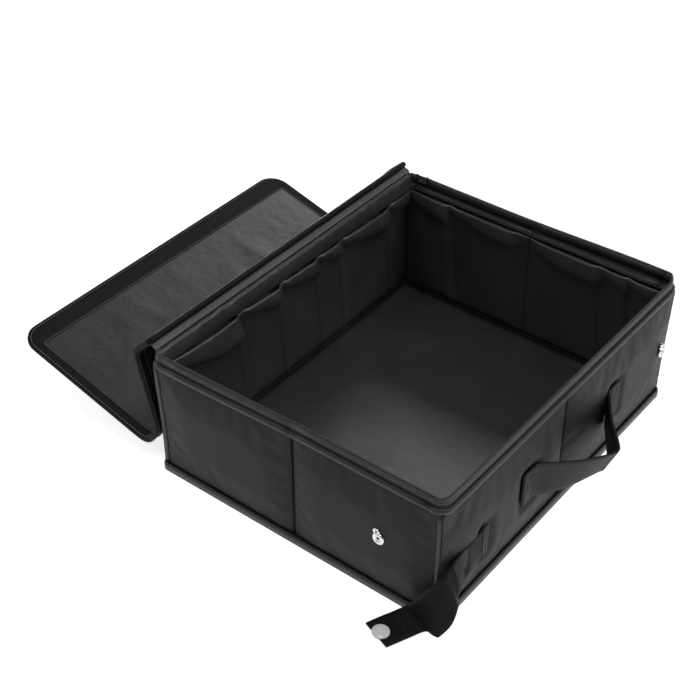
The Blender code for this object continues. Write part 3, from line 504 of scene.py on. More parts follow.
# %% A section carried along a line
def sweep(name, rings, finish, closed=False):
    """Joins rings of points into a tube. Its UV map runs along it and round it, in metres."""
    bm = bmesh.new()
    layer = bm.loops.layers.uv.new("cloth")
    verts = [[bm.verts.new(point) for point in ring] for ring in rings]
    size = len(rings[0])
    around = [0.0]
    for i in range(size):
        around.append(around[-1] + (rings[0][(i + 1) % size] - rings[0][i]).length)
    along = [0.0]
    for before, after in zip(rings, rings[1:]):
        middle = sum((a - b).length for a, b in zip(before, after)) / size
        along.append(along[-1] + middle)
    pairs = list(zip(range(len(rings) - 1), range(1, len(rings))))
    if closed:
        pairs.append((len(rings) - 1, 0))
        along.append(along[-1] + sum((a - b).length for a, b in zip(rings[-1], rings[0])) / size)
    for row, (a, b) in enumerate(pairs):
        for i in range(size):
            k = (i + 1) % size
            face = bm.faces.new((verts[a][i], verts[b][i], verts[b][k], verts[a][k]))
            spots = ((row, i), (row + 1, i), (row + 1, i + 1), (row, i + 1))
            for loop, (r, c) in zip(face.loops, spots):
                loop[layer].uv = (along[r], around[c])
    if not closed:
        for ring in (verts[0][::-1], verts[-1]):
            face = bm.faces.new(ring)
            for loop in face.loops:
                loop[layer].uv = loop.vert.co.xz
    return closed_piece(name, bm, finish)


SHARPEST_TURN = 0.3


def flat_rings(path, section, frame_matrix, closed=False):
    """Rings of a section along a flat path. Section x is outwards, to the path's right, and y is up."""
    rings = []
    count = len(path)
    for i, point in enumerate(path):
        before = path[i - 1] if closed or i else path[i]
        after = path[(i + 1) % count] if closed or i < count - 1 else path[i]
        into, out = (point - before), (after - point)
        into = into.normalized() if into.length else out.normalized()
        out = out.normalized() if out.length else into
        tangent = (into + out).normalized()
        reach = 1 / max(tangent.dot(into), SHARPEST_TURN)
        outward = Vector((tangent.y, -tangent.x)) * reach
        ring = [Vector((*(point + outward * x), z)) for x, z in section]
        rings.append([frame_matrix @ spot for spot in ring])
    return rings


# %% [markdown]
# Stitches and the zip's coil are the same small thing many times over, so a Geometry Nodes tree makes them:
# it walks along a line at an even pitch and sets a bead there, turned along the line. Long thin beads are
# stitches, and short wide ones are the turns of the coil. The result becomes a plain mesh, so that it can
# follow a joint like the cloth.

# %% Rows of beads along lines
def build_bead_tree():
    tree = bpy.data.node_groups.new("row_of_beads", "GeometryNodeTree")
    for label, kind in (("Line", "Geometry"), ("Pitch", "Float"), ("Size", "Vector"), ("Finish", "Material")):
        tree.interface.new_socket(label, in_out="INPUT", socket_type="NodeSocket" + kind)
    tree.interface.new_socket("Beads", in_out="OUTPUT", socket_type="NodeSocketGeometry")
    start, end = tree.nodes.new("NodeGroupInput"), tree.nodes.new("NodeGroupOutput")
    walk, bead, put = (
        tree.nodes.new("GeometryNode" + kind)
        for kind in ("CurveToPoints", "MeshUVSphere", "InstanceOnPoints")
    )
    solid, smooth, paint = (
        tree.nodes.new("GeometryNode" + kind)
        for kind in ("RealizeInstances", "SetShadeSmooth", "SetMaterial")
    )
    walk.mode = "LENGTH"
    bead.inputs["Segments"].default_value = 6
    bead.inputs["Rings"].default_value = 4
    for source, target in (
        (start.outputs["Line"], walk.inputs["Curve"]),
        (start.outputs["Pitch"], walk.inputs["Length"]),
        (walk.outputs["Points"], put.inputs["Points"]),
        (walk.outputs["Rotation"], put.inputs["Rotation"]),
        (bead.outputs["Mesh"], put.inputs["Instance"]),
        (start.outputs["Size"], put.inputs["Scale"]),
        (put.outputs["Instances"], solid.inputs["Geometry"]),
        (solid.outputs["Geometry"], smooth.inputs["Geometry"]),
        (smooth.outputs["Geometry"], paint.inputs["Geometry"]),
        (start.outputs["Finish"], paint.inputs["Material"]),
        (paint.outputs["Geometry"], end.inputs["Beads"]),
    ):
        tree.links.new(source, target)
    return tree


bead_tree = build_bead_tree()


def beads(name, lines, pitch, size, finish):
    """Beads along each line of points. Size is (across, up, along), half of each."""
    curve = bpy.data.curves.new(name + "_line", "CURVE")
    curve.dimensions = "3D"
    for points in lines:
        spline = curve.splines.new("POLY")
        spline.points.add(len(points) - 1)
        for spot, point in zip(spline.points, points):
            spot.co = (*point, 1)
    source = add_object(name + "_line", curve)
    work = source.modifiers.new("beads", "NODES")
    work.node_group = bead_tree
    values = {"Pitch": pitch, "Size": size, "Finish": finish}
    for item in bead_tree.interface.items_tree:
        if item.in_out == "INPUT" and item.name in values:
            work[item.identifier] = values[item.name]
    bpy.context.view_layer.update()
    ready = source.evaluated_get(bpy.context.evaluated_depsgraph_get())
    mesh = bpy.data.meshes.new_from_object(ready)
    bpy.data.objects.remove(source)
    print(name, len(mesh.polygons), "faces")
    return add_object(name, mesh)


STITCH_SHARE = 0.36


def stitches(name, lines, pitch=0.0034, width=0.00032):
    """Rows of stitches. Width is half a stitch's width, and half its length is a share of the pitch."""
    return beads(name, lines, pitch, (width, width, pitch * STITCH_SHARE), thread)


# %% [markdown]
# ## Where things are on a wall
#
# All four walls are made alike. Each piece is laid out in its wall's own frame, as if that wall stood in
# front of the reader, and one matrix then turns it into place. A few small curves say how cloth swells,
# fades and ripples.

# %% The walls' own frames
def wall_frame(yaw):
    """Local x along the wall, y inwards from its outer plane, z up."""
    reach = DEPTH / 2 if yaw in (FRONT, BACK) else LENGTH / 2
    return Matrix.Rotation(math.radians(yaw), 4, "Z") @ Matrix.Translation((0, -reach, 0))


def half_span(side):
    """From start to end of one half of a side wall. Side is 1 for the right half and -1 for the left."""
    return (HALF_START, HALF_END) if side > 0 else (-HALF_END, -HALF_START)


def long_span(side):
    return (LONG_START, LONG_END) if side > 0 else (-LONG_END, -LONG_START)


# %% Curves that swell, fade and ripple
def ease(value, low, high):
    """Rises smoothly from 0 at low to 1 at high."""
    share = min(max((value - low) / (high - low), 0), 1)
    return share * share * (3 - 2 * share)


def calm(value, start, end, power=4):
    """1 in the middle of a span, falling to 0 at its ends."""
    share = (2 * value - start - end) / (end - start)
    return max(0.0, 1 - min(abs(share), 1) ** power)


def bell(value, middle, width):
    """1 at the middle, falling off on both sides."""
    return math.exp(-(((value - middle) / width) ** 2))


def ripple(x, y, size, seed):
    """Soft, even unevenness from -1 to 1, the same each run."""
    return noise.noise(Vector((x / size, y / size, seed)))


# %% [markdown]
# The real rim isn't quite straight: it leans out at two corners. The pads, bindings, tapes and stitches
# there all get the same small lean, so that layers which touch stay together. Soft cloth would cut
# through its neighbour when the walls fold flat; each such piece gets a mesh of its own.

# %% The lean of two corners, and cloth with a mesh of its own
LEAN_START = 0.1920
LEAN_BACK, LEAN_FRONT, LEAN_FOOT = 0.14, -0.03, 0.03
LEANS = ((-1, 1, 0.0045), (1, -1, 0.0055))


def flare(obj):
    """The rim leans out by a few millimetres at the rear left and at the front right corner."""
    for vertex in obj.data.vertices:
        spot = vertex.co
        for side, end, reach in LEANS:
            share = ease(side * spot.x, LEAN_START, LONG_END) * ease(end * spot.y, LEAN_FRONT, LEAN_BACK)
            spot.x += side * reach * (share * ease(spot.z, LEAN_FOOT, HEIGHT))
    return obj


def press(piece, yaw):
    """Gives a piece of soft cloth a mesh of its own."""
    matrix = wall_frame(yaw)
    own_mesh(piece)


# %% [markdown]
# ## The padded walls
#
# Each wall is two padded fields with a fold line between them. A field is cloth sewn down all round over
# thin foam and a board. A short cloth simulation finds its form: the border is pinned, the cloth is a
# little larger than its frame, and the foam's push is a pressure from behind. It crowns softly and pulls
# in, with puckers, along its seams.

# %% Cloth that is pinned at its border and pushed from behind
SETTLE_FRAMES = 18


def settle(obj, columns, push, slack):
    """Runs the simulation and gives each point's place after it."""
    count = len(obj.data.vertices)
    rows = count // columns
    border = [k for k in range(count) if k % columns in (0, columns - 1) or k // columns in (0, rows - 1)]
    obj.vertex_groups.new(name="seam").add(border, 1.0, "REPLACE")
    work = obj.modifiers.new("settle", "CLOTH")
    rules = work.settings
    rules.vertex_group_mass = "seam"
    rules.quality, rules.mass = 6, 0.15
    rules.tension_stiffness = rules.compression_stiffness = 12
    rules.bending_stiffness = 0.3
    rules.shrink_min = -slack
    rules.use_pressure, rules.uniform_pressure_force = True, push
    rules.effector_weights.gravity = 0
    for step in range(1, SETTLE_FRAMES + 1):
        bpy.context.scene.frame_set(step)
    ready = obj.evaluated_get(bpy.context.evaluated_depsgraph_get())
    spots = [vertex.co.copy() for vertex in ready.data.vertices]
    obj.modifiers.remove(work)
    bpy.context.scene.frame_set(1)
    return spots


# %% [markdown]
# Where a patch or the strap is sewn on, its stitches go through the pad and hold it down. So the pad's
# swelling fades to nothing under each of them. Without this the swollen cloth would come out through the
# patch.

# %% Where something is sewn through the front wall
# Middle across and up, then half the width and half the height.
HANDLE_ROOTS = ((-0.0665, 0.069, 0.0085, 0.019), (0.0875, 0.069, 0.0085, 0.019))
STRAP_ROOT = (-0.1350, 0.0567, 0.006, 0.0175)
SEWN_EDGE, SEWN_REACH = 0.001, 0.010


def sewn_share(yaw, x, z):
    """1 under what is sewn on, fading to 0 over the next 9 mm."""
    share = 0.0
    for mid_x, mid_z, half_x, half_z in (*HANDLE_ROOTS, STRAP_ROOT) if yaw == FRONT else ():
        off = math.hypot(max(abs(x - mid_x) - half_x, 0), max(abs(z - mid_z) - half_z, 0))
        share = max(share, 1 - ease(off, SEWN_EDGE, SEWN_REACH))
    return share


# %% Padded fields
FIELD_STEP, SEAM_ROW = 0.0042, 0.0014
FIELD_SWELL, FIELD_PUSH, FIELD_SLACK = 0.0042, 1.6, 0.005
FIRST_SWELL_SHARE, MOST_SWELL_SHARE = 0.62, 1.2
# Size and height of the pad's own unevenness, coarse and fine.
COARSE_LUMPS, FINE_LUMPS = (0.045, 0.0006), (0.013, 0.0003)
SEAM_DEPTH, DEEPEST, SEWN_DEPTH = 0.0022, 0.0024, 0.0012
FOLD_DEPTH, FOLD_WIDTH = 0.0020, 0.0032
OUTER_THICKNESS = 0.0009


def padded_field(name, span, yaw, seed):
    """A pad in its wall's plane. Local y is inwards, so a swollen face has a lower y than its seams."""
    matrix = wall_frame(yaw)
    xs, zs = steps(*span, FIELD_STEP), steps(FOOT_TOP, WALL_TOP, FIELD_STEP)
    xs = sorted(set(xs) | {span[0] + SEAM_ROW, span[1] - SEAM_ROW})

    def sewn(x, z):
        held = calm(x, *span) * calm(z, FOOT_TOP, WALL_TOP)
        (coarse, high), (fine, low) = COARSE_LUMPS, FINE_LUMPS
        loose = ripple(x, z, coarse, seed) * high + ripple(x, z, fine, seed + 3) * low
        return Vector((x, SEAM_DEPTH - held * (FIELD_SWELL * FIRST_SWELL_SHARE + loose), z))

    obj = cloth_grid(name, xs, zs, sewn, outer_cloth)
    spots = [vertex.co.copy() for vertex in obj.data.vertices]
    spots = settle(obj, len(xs), FIELD_PUSH, FIELD_SLACK)
    highest = SEAM_DEPTH - FIELD_SWELL * MOST_SWELL_SHARE
    for vertex, spot in zip(obj.data.vertices, spots):
        deep = min(max(spot.y, highest), DEEPEST)
        deep += (SEWN_DEPTH - deep) * sewn_share(yaw, spot.x, spot.z)
        fold = math.exp(-abs(spot.x) / FOLD_WIDTH)
        vertex.co = matrix @ Vector((spot.x, deep + FOLD_DEPTH * fold, spot.z))
    flare(obj)
    thicken(obj, OUTER_THICKNESS, -1)
    smooth = obj.modifiers.new("finer", "SUBSURF")
    smooth.levels = smooth.render_levels = 1
    return obj


# %% Two pads on each wall
sides = {
    "left_rear": (LEFT, -1),
    "left_front": (LEFT, 1),
    "right_rear": (RIGHT, 1),
    "right_front": (RIGHT, -1),
}
for seed, (body, (yaw, side)) in enumerate(sides.items()):
    pad = padded_field(body + "_field", half_span(side), yaw, seed * 3.7)
    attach(pad, body)
    press(pad, yaw)
    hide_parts(body + "_cover")
    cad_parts[body + "_board"].data.materials[0] = card

for seed, (wall, yaw, body) in enumerate((("front", FRONT, "front"), ("back", BACK, "base"))):
    for side, word in ((-1, "left"), (1, "right")):
        pad = padded_field(f"{wall}_field_{word}", long_span(side), yaw, 20 + seed * 5.1 + side)
        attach(pad, body)
        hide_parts(wall + "_cover")
        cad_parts[f"{wall}_board_{word}"].data.materials[0] = card

# %% [markdown]
# Where two fields meet, a tape closes the fold line outside, and on the side walls, which really fold, a
# strip of lining closes it inside. On the long walls the fold is only a line, so the tape rides with its
# wall.

# %% Strips across the folds
STRIP_HALF, STRIP_THICKNESS, BEND_HALF = 0.004, 0.0005, 0.002
FOLD_TAPE_DEPTH, FOLD_LINING_DEPTH = 0.0046, 0.0068


def fold_strip(name, yaw, depth, finish):
    matrix = wall_frame(yaw)

    def lay(x, z):
        return matrix @ Vector((x, depth, z))

    xs, zs = steps(-STRIP_HALF, STRIP_HALF, BEND_STEP), steps(FOOT_TOP, WALL_TOP, TAPE_STEP)
    strip = cloth_grid(name, xs, zs, lay, finish)
    return thicken(strip, STRIP_THICKNESS)


def bend_with_fold(piece, wall):
    """Bakes the strip's place into its points."""
    matrix = wall_frame({"left": LEFT, "right": RIGHT}[wall])
    ends = [matrix @ Vector((x, 0, 0)) for x in (-BEND_HALF, BEND_HALF)]
    ends.sort(key=lambda point: -point.y)
    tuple(ends[0])
    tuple(ends[1])
    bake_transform(piece)


# The outer fold tapes are near-black tape_cloth, painted shade so that each fold shows as a dark line.
for wall, yaw in (("left", LEFT), ("right", RIGHT), ("front", FRONT), ("back", BACK)):
    outside = fold_strip(wall + "_fold_tape", yaw, FOLD_TAPE_DEPTH, tape_cloth)
    pieces = [outside]
    if yaw in (LEFT, RIGHT):
        inside = fold_strip(wall + "_fold_lining", yaw, FOLD_LINING_DEPTH, lining_cloth)
        pieces.append(inside)
    for piece in pieces:
        if yaw in (LEFT, RIGHT):
            bend_with_fold(piece, wall)
        else:
            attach(piece, "base" if wall == "back" else wall)

# %% [markdown]
# ## The linings
#
# The inner cloth hangs looser than the outer one: it is bunched under the rim and drops in upright folds.
# It is a single sheet for each half of a side wall and one for the whole of a long wall, held at the rim
# and the floor. The folds stand where chance put them, so their places are given, and a rule
# billows the cloth between them.

# %% Linings with upright folds
# Each fold's place as a share of half the wall, its strength, and its width in metres.
back_folds = (
    (0.44, 1.0, 0.003), (0.41, 0.9, 0.003), (0.12, 1.0, 0.004),
    (-0.17, 0.7, 0.004), (-0.37, 0.6, 0.004), (-0.78, 0.5, 0.005),
)
side_folds = ((0.58, 0.7, 0.004), (0.05, 0.8, 0.005), (-0.55, 0.8, 0.005), (-0.74, 0.5, 0.004))
FOLD_SLANT, SLANT_LEVEL = 0.10, 0.07
FOLD_SHARPNESS = 0.0008
BUNCH_LEVEL, BUNCH_SOFTNESS, BUNCH_START = 0.127, 0.0035, 0.003
# Least and further length: for the billow to reach its height past a fold, and for the bunch to hang down.
CLIMB, CLIMB_MORE, HANG, HANG_MORE, HANG_RIPPLE = 0.045, 0.035, 0.010, 0.014, 0.004
UNEVEN_RATE = 90
LINING_THICKNESS, LINING_GAP = 0.0006, 0.0004
LINING_STEPS = (0.0021, 0.0026)
SIDE_LEAD, BACK_LEAD = 0.0008, 0.0046


def lining_depth(span, half, folds, height, seed, lead):
    """Between two folds the cloth billows more and more under the rim; the next fold pulls it back."""
    marks = [place * half for place, strength, width in folds]

    def depth(x, z):
        slant = FOLD_SLANT * (z - SLANT_LEVEL)
        past = min([mark - x + slant for mark in marks if mark - x + slant >= 0] + [half - x])
        uneven = 0.5 + 0.5 * math.sin(UNEVEN_RATE * (x + past) + seed)
        share = min(past / (CLIMB + CLIMB_MORE * uneven), 1)
        drop = BUNCH_LEVEL - (HANG + HANG_MORE * uneven) * share + HANG_RIPPLE * ripple(x, 0, 0.05, seed + 6)
        slope = min(max((WALL_TOP - z) / (WALL_TOP - drop), 0), 1)
        fall = 1 / (1 + math.exp((drop - BUNCH_START - z) / BUNCH_SOFTNESS))
        rise = height * (0.4 + (0.3 + 0.4 * uneven) * share)
        billow = (lead + rise * slope * calm(x, *span, 8)) * fall
        grooves = sum(
            strength * bell(mark - x + slant, FOLD_SHARPNESS, width)
            for mark, (place, strength, width) in zip(marks, folds)
        )
        patchy = 0.75 + 0.25 * ripple(x, z * 0.4, 0.035, seed + 2)
        loose = (0.5 + 0.8 * share) * patchy - 1.3 * min(grooves, 1)
        held = calm(x, *span, 8) * calm(z, FOOT_TOP, WALL_TOP + 0.03, 16)
        return WALL - LINING_GAP + billow + 0.55 * height * held * max(loose, 0)

    return depth


def lining(name, span, half, yaw, folds, height, seed):
    depth = lining_depth(span, half, folds, height, seed, BACK_LEAD if yaw == BACK else SIDE_LEAD)
    matrix = wall_frame(yaw)
    xs, zs = steps(*span, LINING_STEPS[0]), steps(FOOT_TOP, WALL_TOP, LINING_STEPS[1])
    obj = cloth_grid(name, xs, zs, lambda x, z: matrix @ Vector((x, depth(x, z), z)), lining_cloth)
    thicken(obj, LINING_THICKNESS)
    return obj


# %% A lining on each wall
for seed, (body, (yaw, side)) in enumerate(sides.items()):
    span = half_span(side)
    sheet = lining(body + "_inner_cloth", span, DEPTH / 2, yaw, side_folds, 0.0060, 31 + seed)
    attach(sheet, body)
    press(sheet, yaw)
    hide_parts(body + "_lining")

for wall, yaw, body, folds, height in (
    ("front", FRONT, "front", side_folds, 0.0050),
    ("back", BACK, "base", back_folds, 0.0090),
):
    sheet = lining(wall + "_inner_cloth", (-LINING_END, LINING_END), LENGTH / 2, yaw, folds, height, 41)
    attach(sheet, body)
    press(sheet, yaw)
    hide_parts(wall + "_lining")

# %% [markdown]
# ## The rim
#
# A folded tape binds the top of each wall. Above it stands the tape of the zip, with a raised line along it.
# Each is one section carried along the wall. The front's and the back's run round the corners in a small
# arc, as the side walls end just short of them. The sections are drawn as points of (outwards, up), once
# round.

# %% Rim sections
RIM_OUT, RIM_SOFT, RIM_CURL, RIM_BULGE = 0.0007, 0.0012, 0.0005, 0.0003
TAPE_OUT, TAPE_IN, TAPE_TOP, RIDGE_LEVEL = -0.0018, -0.0034, HEIGHT - 0.0018, 0.1434


def binding_section():
    out, inside = RIM_OUT, -WALL - RIM_OUT
    low, high, soft = RIM_LOW, RIM_MIDDLE, RIM_SOFT
    middle = (low + high) / 2
    return [
        (out - RIM_CURL, low - 0.0004), (out, low + soft), (out + RIM_BULGE, middle), (out, high - soft),
        (out - soft, high), (inside + soft, high), (inside, high - soft), (inside - RIM_BULGE, middle),
        (inside, low + soft), (inside + RIM_CURL, low - 0.0004),
    ]


def zip_section():
    out, inside = TAPE_OUT, TAPE_IN
    low, bead = RIM_MIDDLE + 0.0001, RIDGE_LEVEL
    return [
        (out + 0.0003, low), (out, bead - 0.0017), (out + 0.0007, bead - 0.0008), (out + 0.0009, bead),
        (out + 0.0007, bead + 0.0008), (out, bead + 0.0017), (out, TAPE_TOP),
        (inside, TAPE_TOP), (inside, bead + 0.0015), (inside - 0.0006, bead), (inside, bead - 0.0015),
        (inside - 0.0003, low),
    ]


# %% Where the rim runs
CORNER_RADIUS, CORNER_RETURN, CORNER_PARTS = 0.012, 0.015, 7
SIDE_START, SIDE_SHORT = 0.0006, 0.0153


def corner_path():
    end, radius = LENGTH / 2, CORNER_RADIUS
    corner = Vector((-end + radius, radius))
    start = [Vector((-end, CORNER_RETURN))]
    for step in range(CORNER_PARTS + 1):
        angle = math.pi + math.pi / 2 * step / CORNER_PARTS
        start.append(corner + radius * Vector((math.cos(angle), math.sin(angle))))
    straight = [Vector((x, 0)) for x in steps(-end + radius, end - radius, LONG_STEP)[1:-1]]
    return start + straight + [Vector((-point.x, point.y)) for point in reversed(start)]


def side_path(side):
    path = [Vector((x, 0)) for x in steps(SIDE_START, DEPTH / 2 - SIDE_SHORT, LONG_STEP)]
    return path if side > 0 else [Vector((-point.x, 0)) for point in reversed(path)]


rims = {"front": (corner_path(), FRONT), "base": (corner_path(), BACK)}
rims.update({body: (side_path(side), yaw) for body, (yaw, side) in sides.items()})
print(len(rims), "stretches of rim")

# %% Binding and zip tape on every body
for body, (path, yaw) in rims.items():
    word = "back" if body == "base" else body
    binding = sweep(word + "_binding", flat_rings(path, binding_section(), wall_frame(yaw)), binding_cloth)
    tape = sweep(word + "_zip", flat_rings(path, zip_section(), wall_frame(yaw)), zip_cloth)
    for piece, slot in ((binding, "binding_tape"), (tape, "zip_tape")):
        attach(flare(piece), body)
    if body == "base":
        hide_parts("back_rim")
        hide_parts("back_rim")
    else:
        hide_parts(body + "_rim_binding")
        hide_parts(body + "_zip_tape")

# %% [markdown]
# The zip's coil runs along the lip of its tape on the three open walls, a turn each 1.6 mm. Three rows of
# stitches hold the tape and the two sides of the binding. At the two folds a short piece of each section
# closes the rim.

# %% Coil and stitches on every body
# Outwards and up from a wall's outer plane.
RIM_STITCHES = ((-0.0016, 0.1466), (0.0011, 0.1352), (-WALL - 0.0011, 0.1352))
COIL_PLACE, COIL_PITCH, COIL_SIZE = (-0.0026, HEIGHT - 0.0010), 0.0016, (0.0011, 0.0010, 0.0006)


def lifted(path, out, up, yaw):
    return [ring[0] for ring in flat_rings(path, [(out, up)], wall_frame(yaw))]


for body, (path, yaw) in rims.items():
    word = "back" if body == "base" else body
    rows = stitches(word + "_rim_stitches", [lifted(path, out, up, yaw) for out, up in RIM_STITCHES])
    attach(flare(rows), body)
    if body != "base":
        coil = beads(word + "_coil", [lifted(path, *COIL_PLACE, yaw)], COIL_PITCH, COIL_SIZE, coil_plastic)
        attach(flare(coil), body)

# %% Short pieces at the side folds
BRIDGE_HALF, BRIDGE_STEP = 0.0007, 0.0002
bridge_path = [Vector((x, 0)) for x in steps(-BRIDGE_HALF, BRIDGE_HALF, BRIDGE_STEP)]
for wall, yaw in (("left", LEFT), ("right", RIGHT)):
    for word, outline, finish in (
        ("binding", binding_section(), binding_cloth),
        ("zip", zip_section(), zip_cloth),
    ):
        bridge = sweep(f"{wall}_fold_{word}", flat_rings(bridge_path, outline, wall_frame(yaw)), finish)
        bend_with_fold(bridge, wall)

# %% [markdown]
# At the back the lid is sewn on instead of zipped. A band of thicker cloth covers that seam, and below it
# the lining's head comes over the rim. Both are pulled together by their stitches, so their upper sides get
# small gathers, while their lower sides stay as they are on the rim.

# %% The band that joins the back rim to the lid, and the lining's head below it
# Points of y and z, from the inside of the box to its outside and back again.
BAND_TOP = ((0.1606, 0.1464), (0.1602, 0.1486), (0.1618, 0.1501), (0.1642, 0.1512), (0.1674, 0.1524))
BAND_UNDER = ((0.1674, 0.1514), (0.1642, 0.1499), (0.1622, 0.1484), (0.1615, 0.1464))
HEAD_TOP = (
    (0.1600, 0.1456), (0.1594, 0.1472), (0.1580, 0.1472), (0.1561, 0.1440),
    (0.1545, 0.1392), (0.1530, 0.1336), (0.1528, 0.1310),
)
HEAD_UNDER = ((0.1535, 0.1310), (0.1538, 0.1338), (0.1553, 0.1388), (0.1568, 0.1434), (0.1587, 0.1462))
BAND_END, BAND_STITCH_END, BAND_STITCH_PLACE = 0.1978, 0.196, (0.1625, 0.1512)


def gathered(name, top, under, gather, size, finish):
    """A strip along the back rim, with gathers of a height and a size on the upper side of its section."""
    rings = []
    for x in steps(-BAND_END, BAND_END, 0.0020):
        bumps = [gather * ripple(x, k * 0.006, size, 5 + k // 3) for k in range(len(top))]
        bumps[0] = bumps[-1] = 0.0
        upper = [Vector((x, y - bump * 0.6, z + bump)) for (y, z), bump in zip(top, bumps)]
        rings.append(upper + [Vector((x, y, z)) for y, z in under])
    strip = sweep(name, rings, finish)
    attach(strip, "base")
    return strip


# The band's pale rim_cloth is partly painted highlight on its upper side.
rim_band = gathered("back_rim_band", BAND_TOP, BAND_UNDER, 0.0008, 0.0045, rim_cloth)
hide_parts("back_rim")
head = gathered("back_lining_head", HEAD_TOP, HEAD_UNDER, 0.0007, 0.011, lining_cloth)
press(head, BACK)
band_row = [Vector((x, *BAND_STITCH_PLACE)) for x in steps(-BAND_STITCH_END, BAND_STITCH_END, TAPE_STEP)]
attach(stitches("back_band_stitches", [band_row], width=0.0004), "base")

# %% [markdown]
# ## Corners and foot
#
# Tapes close the ends of the long walls. Each stands upright in the gap to its neighbour, so its place is
# read from the CAD node that it stands for.

# %% Corner tapes
CORNER_TAPE = (
    (0.0008, 0.0), (0.0005, 0.0025), (-0.0005, 0.0025),
    (-0.0008, 0.0), (-0.0005, -0.0021), (0.0005, -0.0021),
)

for wall, body in (("front", "front"), ("back", "base")):
    for word in ("left", "right"):
        name = f"{wall}_corner_tape_{word}"
        low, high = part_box(name)
        middle = (low + high) / 2
        rings = [
            [Vector((middle.x + x, middle.y + y, z)) for x, y in CORNER_TAPE]
            for z in steps(FOOT_TOP, WALL_TOP, TAPE_STEP)
        ]
        tape = sweep(name + "_cloth", rings, binding_cloth)
        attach(flare(tape), body)
        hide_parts(name)

# %% [markdown]
# The floor is a shallow tray of the outer cloth, with a lining laid in it. A binding runs round the foot,
# where the walls meet the floor cloth, and one row of stitches holds it. The binding is one closed sweep
# round a rounded box.

# %% Floor cloth
TRAY_INSET, TRAY_CORNER, TRAY_EDGE, TRAY_FLOOR = 0.0015, 0.0045, 0.0077, 0.0012
TRAY_HALF, TRAY_INNER_CORNER = (0.1925, 0.1575), 0.001
ROUND_PARTS = 5


def rounded_box(half_x, half_y, corner):
    points = []
    for quarter, (sx, sy) in enumerate(((1, 1), (-1, 1), (-1, -1), (1, -1))):
        middle = Vector((sx * (half_x - corner), sy * (half_y - corner)))
        for step in range(ROUND_PARTS + 1):
            angle = math.pi / 2 * (quarter + step / ROUND_PARTS)
            points.append(middle + corner * Vector((math.cos(angle), math.sin(angle))))
    return points


def tray():
    bm = bmesh.new()
    layer = bm.loops.layers.uv.new("cloth")
    outer = rounded_box(LENGTH / 2 - TRAY_INSET, DEPTH / 2 - TRAY_INSET, TRAY_CORNER)
    inner = rounded_box(*TRAY_HALF, TRAY_INNER_CORNER)
    levels = [(outer, 0.0), (outer, TRAY_EDGE), (inner, TRAY_EDGE), (inner, TRAY_FLOOR)]
    loops = [[bm.verts.new((p.x, p.y, z)) for p in ring] for ring, z in levels]
    for below, above in zip(loops, loops[1:]):
        for i in range(len(below)):
            k = (i + 1) % len(below)
            bm.faces.new((below[i], below[k], above[k], above[i]))
    bm.faces.new(loops[0])
    bm.faces.new(loops[-1])
    for face in bm.faces:
        for loop in face.loops:
            loop[layer].uv = loop.vert.co.xy
    obj = closed_piece("floor_cloth", bm, outer_cloth)
    obj.data.shade_flat()
    return obj


base_tray = tray()
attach(base_tray, "base")
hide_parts("base_cover")

# %% The foot's binding and its stitches
FOOT_CORNER, FOOT_STITCH = 0.006, (0.0017, 0.0070)
FOOT_SECTION = (
    (-0.0012, 0.0002), (0.0022, 0.0002), (0.0029, 0.0012), (0.0022, 0.0050), (0.0012, 0.0086),
    (0.0004, 0.0092), (-0.0004, 0.0088), (-0.0012, 0.0060),
)


def foot_path():
    points = rounded_box(LENGTH / 2, DEPTH / 2, FOOT_CORNER)
    full = []
    for before, after in zip(points, points[1:] + points[:1]):
        count = max(1, int((after - before).length / LONG_STEP))
        full += [before + (after - before) * i / count for i in range(count)]
    return full[::-1]


def round_foot(section):
    return flat_rings(foot_path(), section, Matrix.Identity(4), True)


foot = sweep("foot_binding", round_foot(FOOT_SECTION), binding_cloth, closed=True)
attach(foot, "base")
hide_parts("base_binding")
foot_row = [ring[0] for ring in round_foot([FOOT_STITCH])]
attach(stitches("foot_stitches", [foot_row]), "base")

# %% The floor's lining
FLOOR_LEVEL, FLOOR_RISE, FLOOR_STEP = 0.0018, 0.0016, 0.005


def floor_place(x, y):
    loose = 0.5 + 0.5 * ripple(x, y, 0.06, 3)
    half_x, half_y = FLOOR_HALF
    z = FLOOR_LEVEL + FLOOR_RISE * loose * calm(x, -half_x, half_x) * calm(y, -half_y, half_y)
    return Vector((x, y, z))


across, along = (steps(-half, half, FLOOR_STEP) for half in FLOOR_HALF)
floor_lining = cloth_grid("floor_inner_cloth", across, along, floor_place, lining_cloth)
thicken(floor_lining, LINING_THICKNESS)
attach(floor_lining, "base")
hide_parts("base_lining")

# %% [markdown]
# ## The lid
#
# The lid is one soft panel, sewn to the back rim. It bulges over the wall's top, drops behind it in an S,
# and lies out behind the box with its free edge raised. One smooth mid-line, measured along its length,
# places every layer: lining, cover, border and stitches. The CAD model has two stiff spans in its place, so
# the panel is cut where its line last meets the first span, and the part before the cut rides on that span.

# %% The lid's mid-line
LINE_STEP = 0.001
LINE_WINDOWS = (0.008, 0.006)


def smooth_line(points, window):
    """Rounds the corners of a line by averaging over a window of its length."""
    dense = []
    for (y0, z0), (y1, z1) in zip(points, points[1:]):
        length = math.hypot(y1 - y0, z1 - z0)
        count = max(1, round(length / LINE_STEP))
        dense += [(y0 + (y1 - y0) * i / count, z0 + (z1 - z0) * i / count) for i in range(count)]
    dense.append(points[-1])
    line = np.array(dense)
    half = int(window / LINE_STEP)
    kernel = np.ones(2 * half + 1) / (2 * half + 1)
    first, last = line[0], line[-1]
    before = 2 * first - line[half:0:-1]
    after = 2 * last - line[-2:-half - 2:-1]
    padded = np.concatenate([before, line, after])
    return np.stack([np.convolve(padded[:, i], kernel, "valid") for i in range(2)], axis=1)


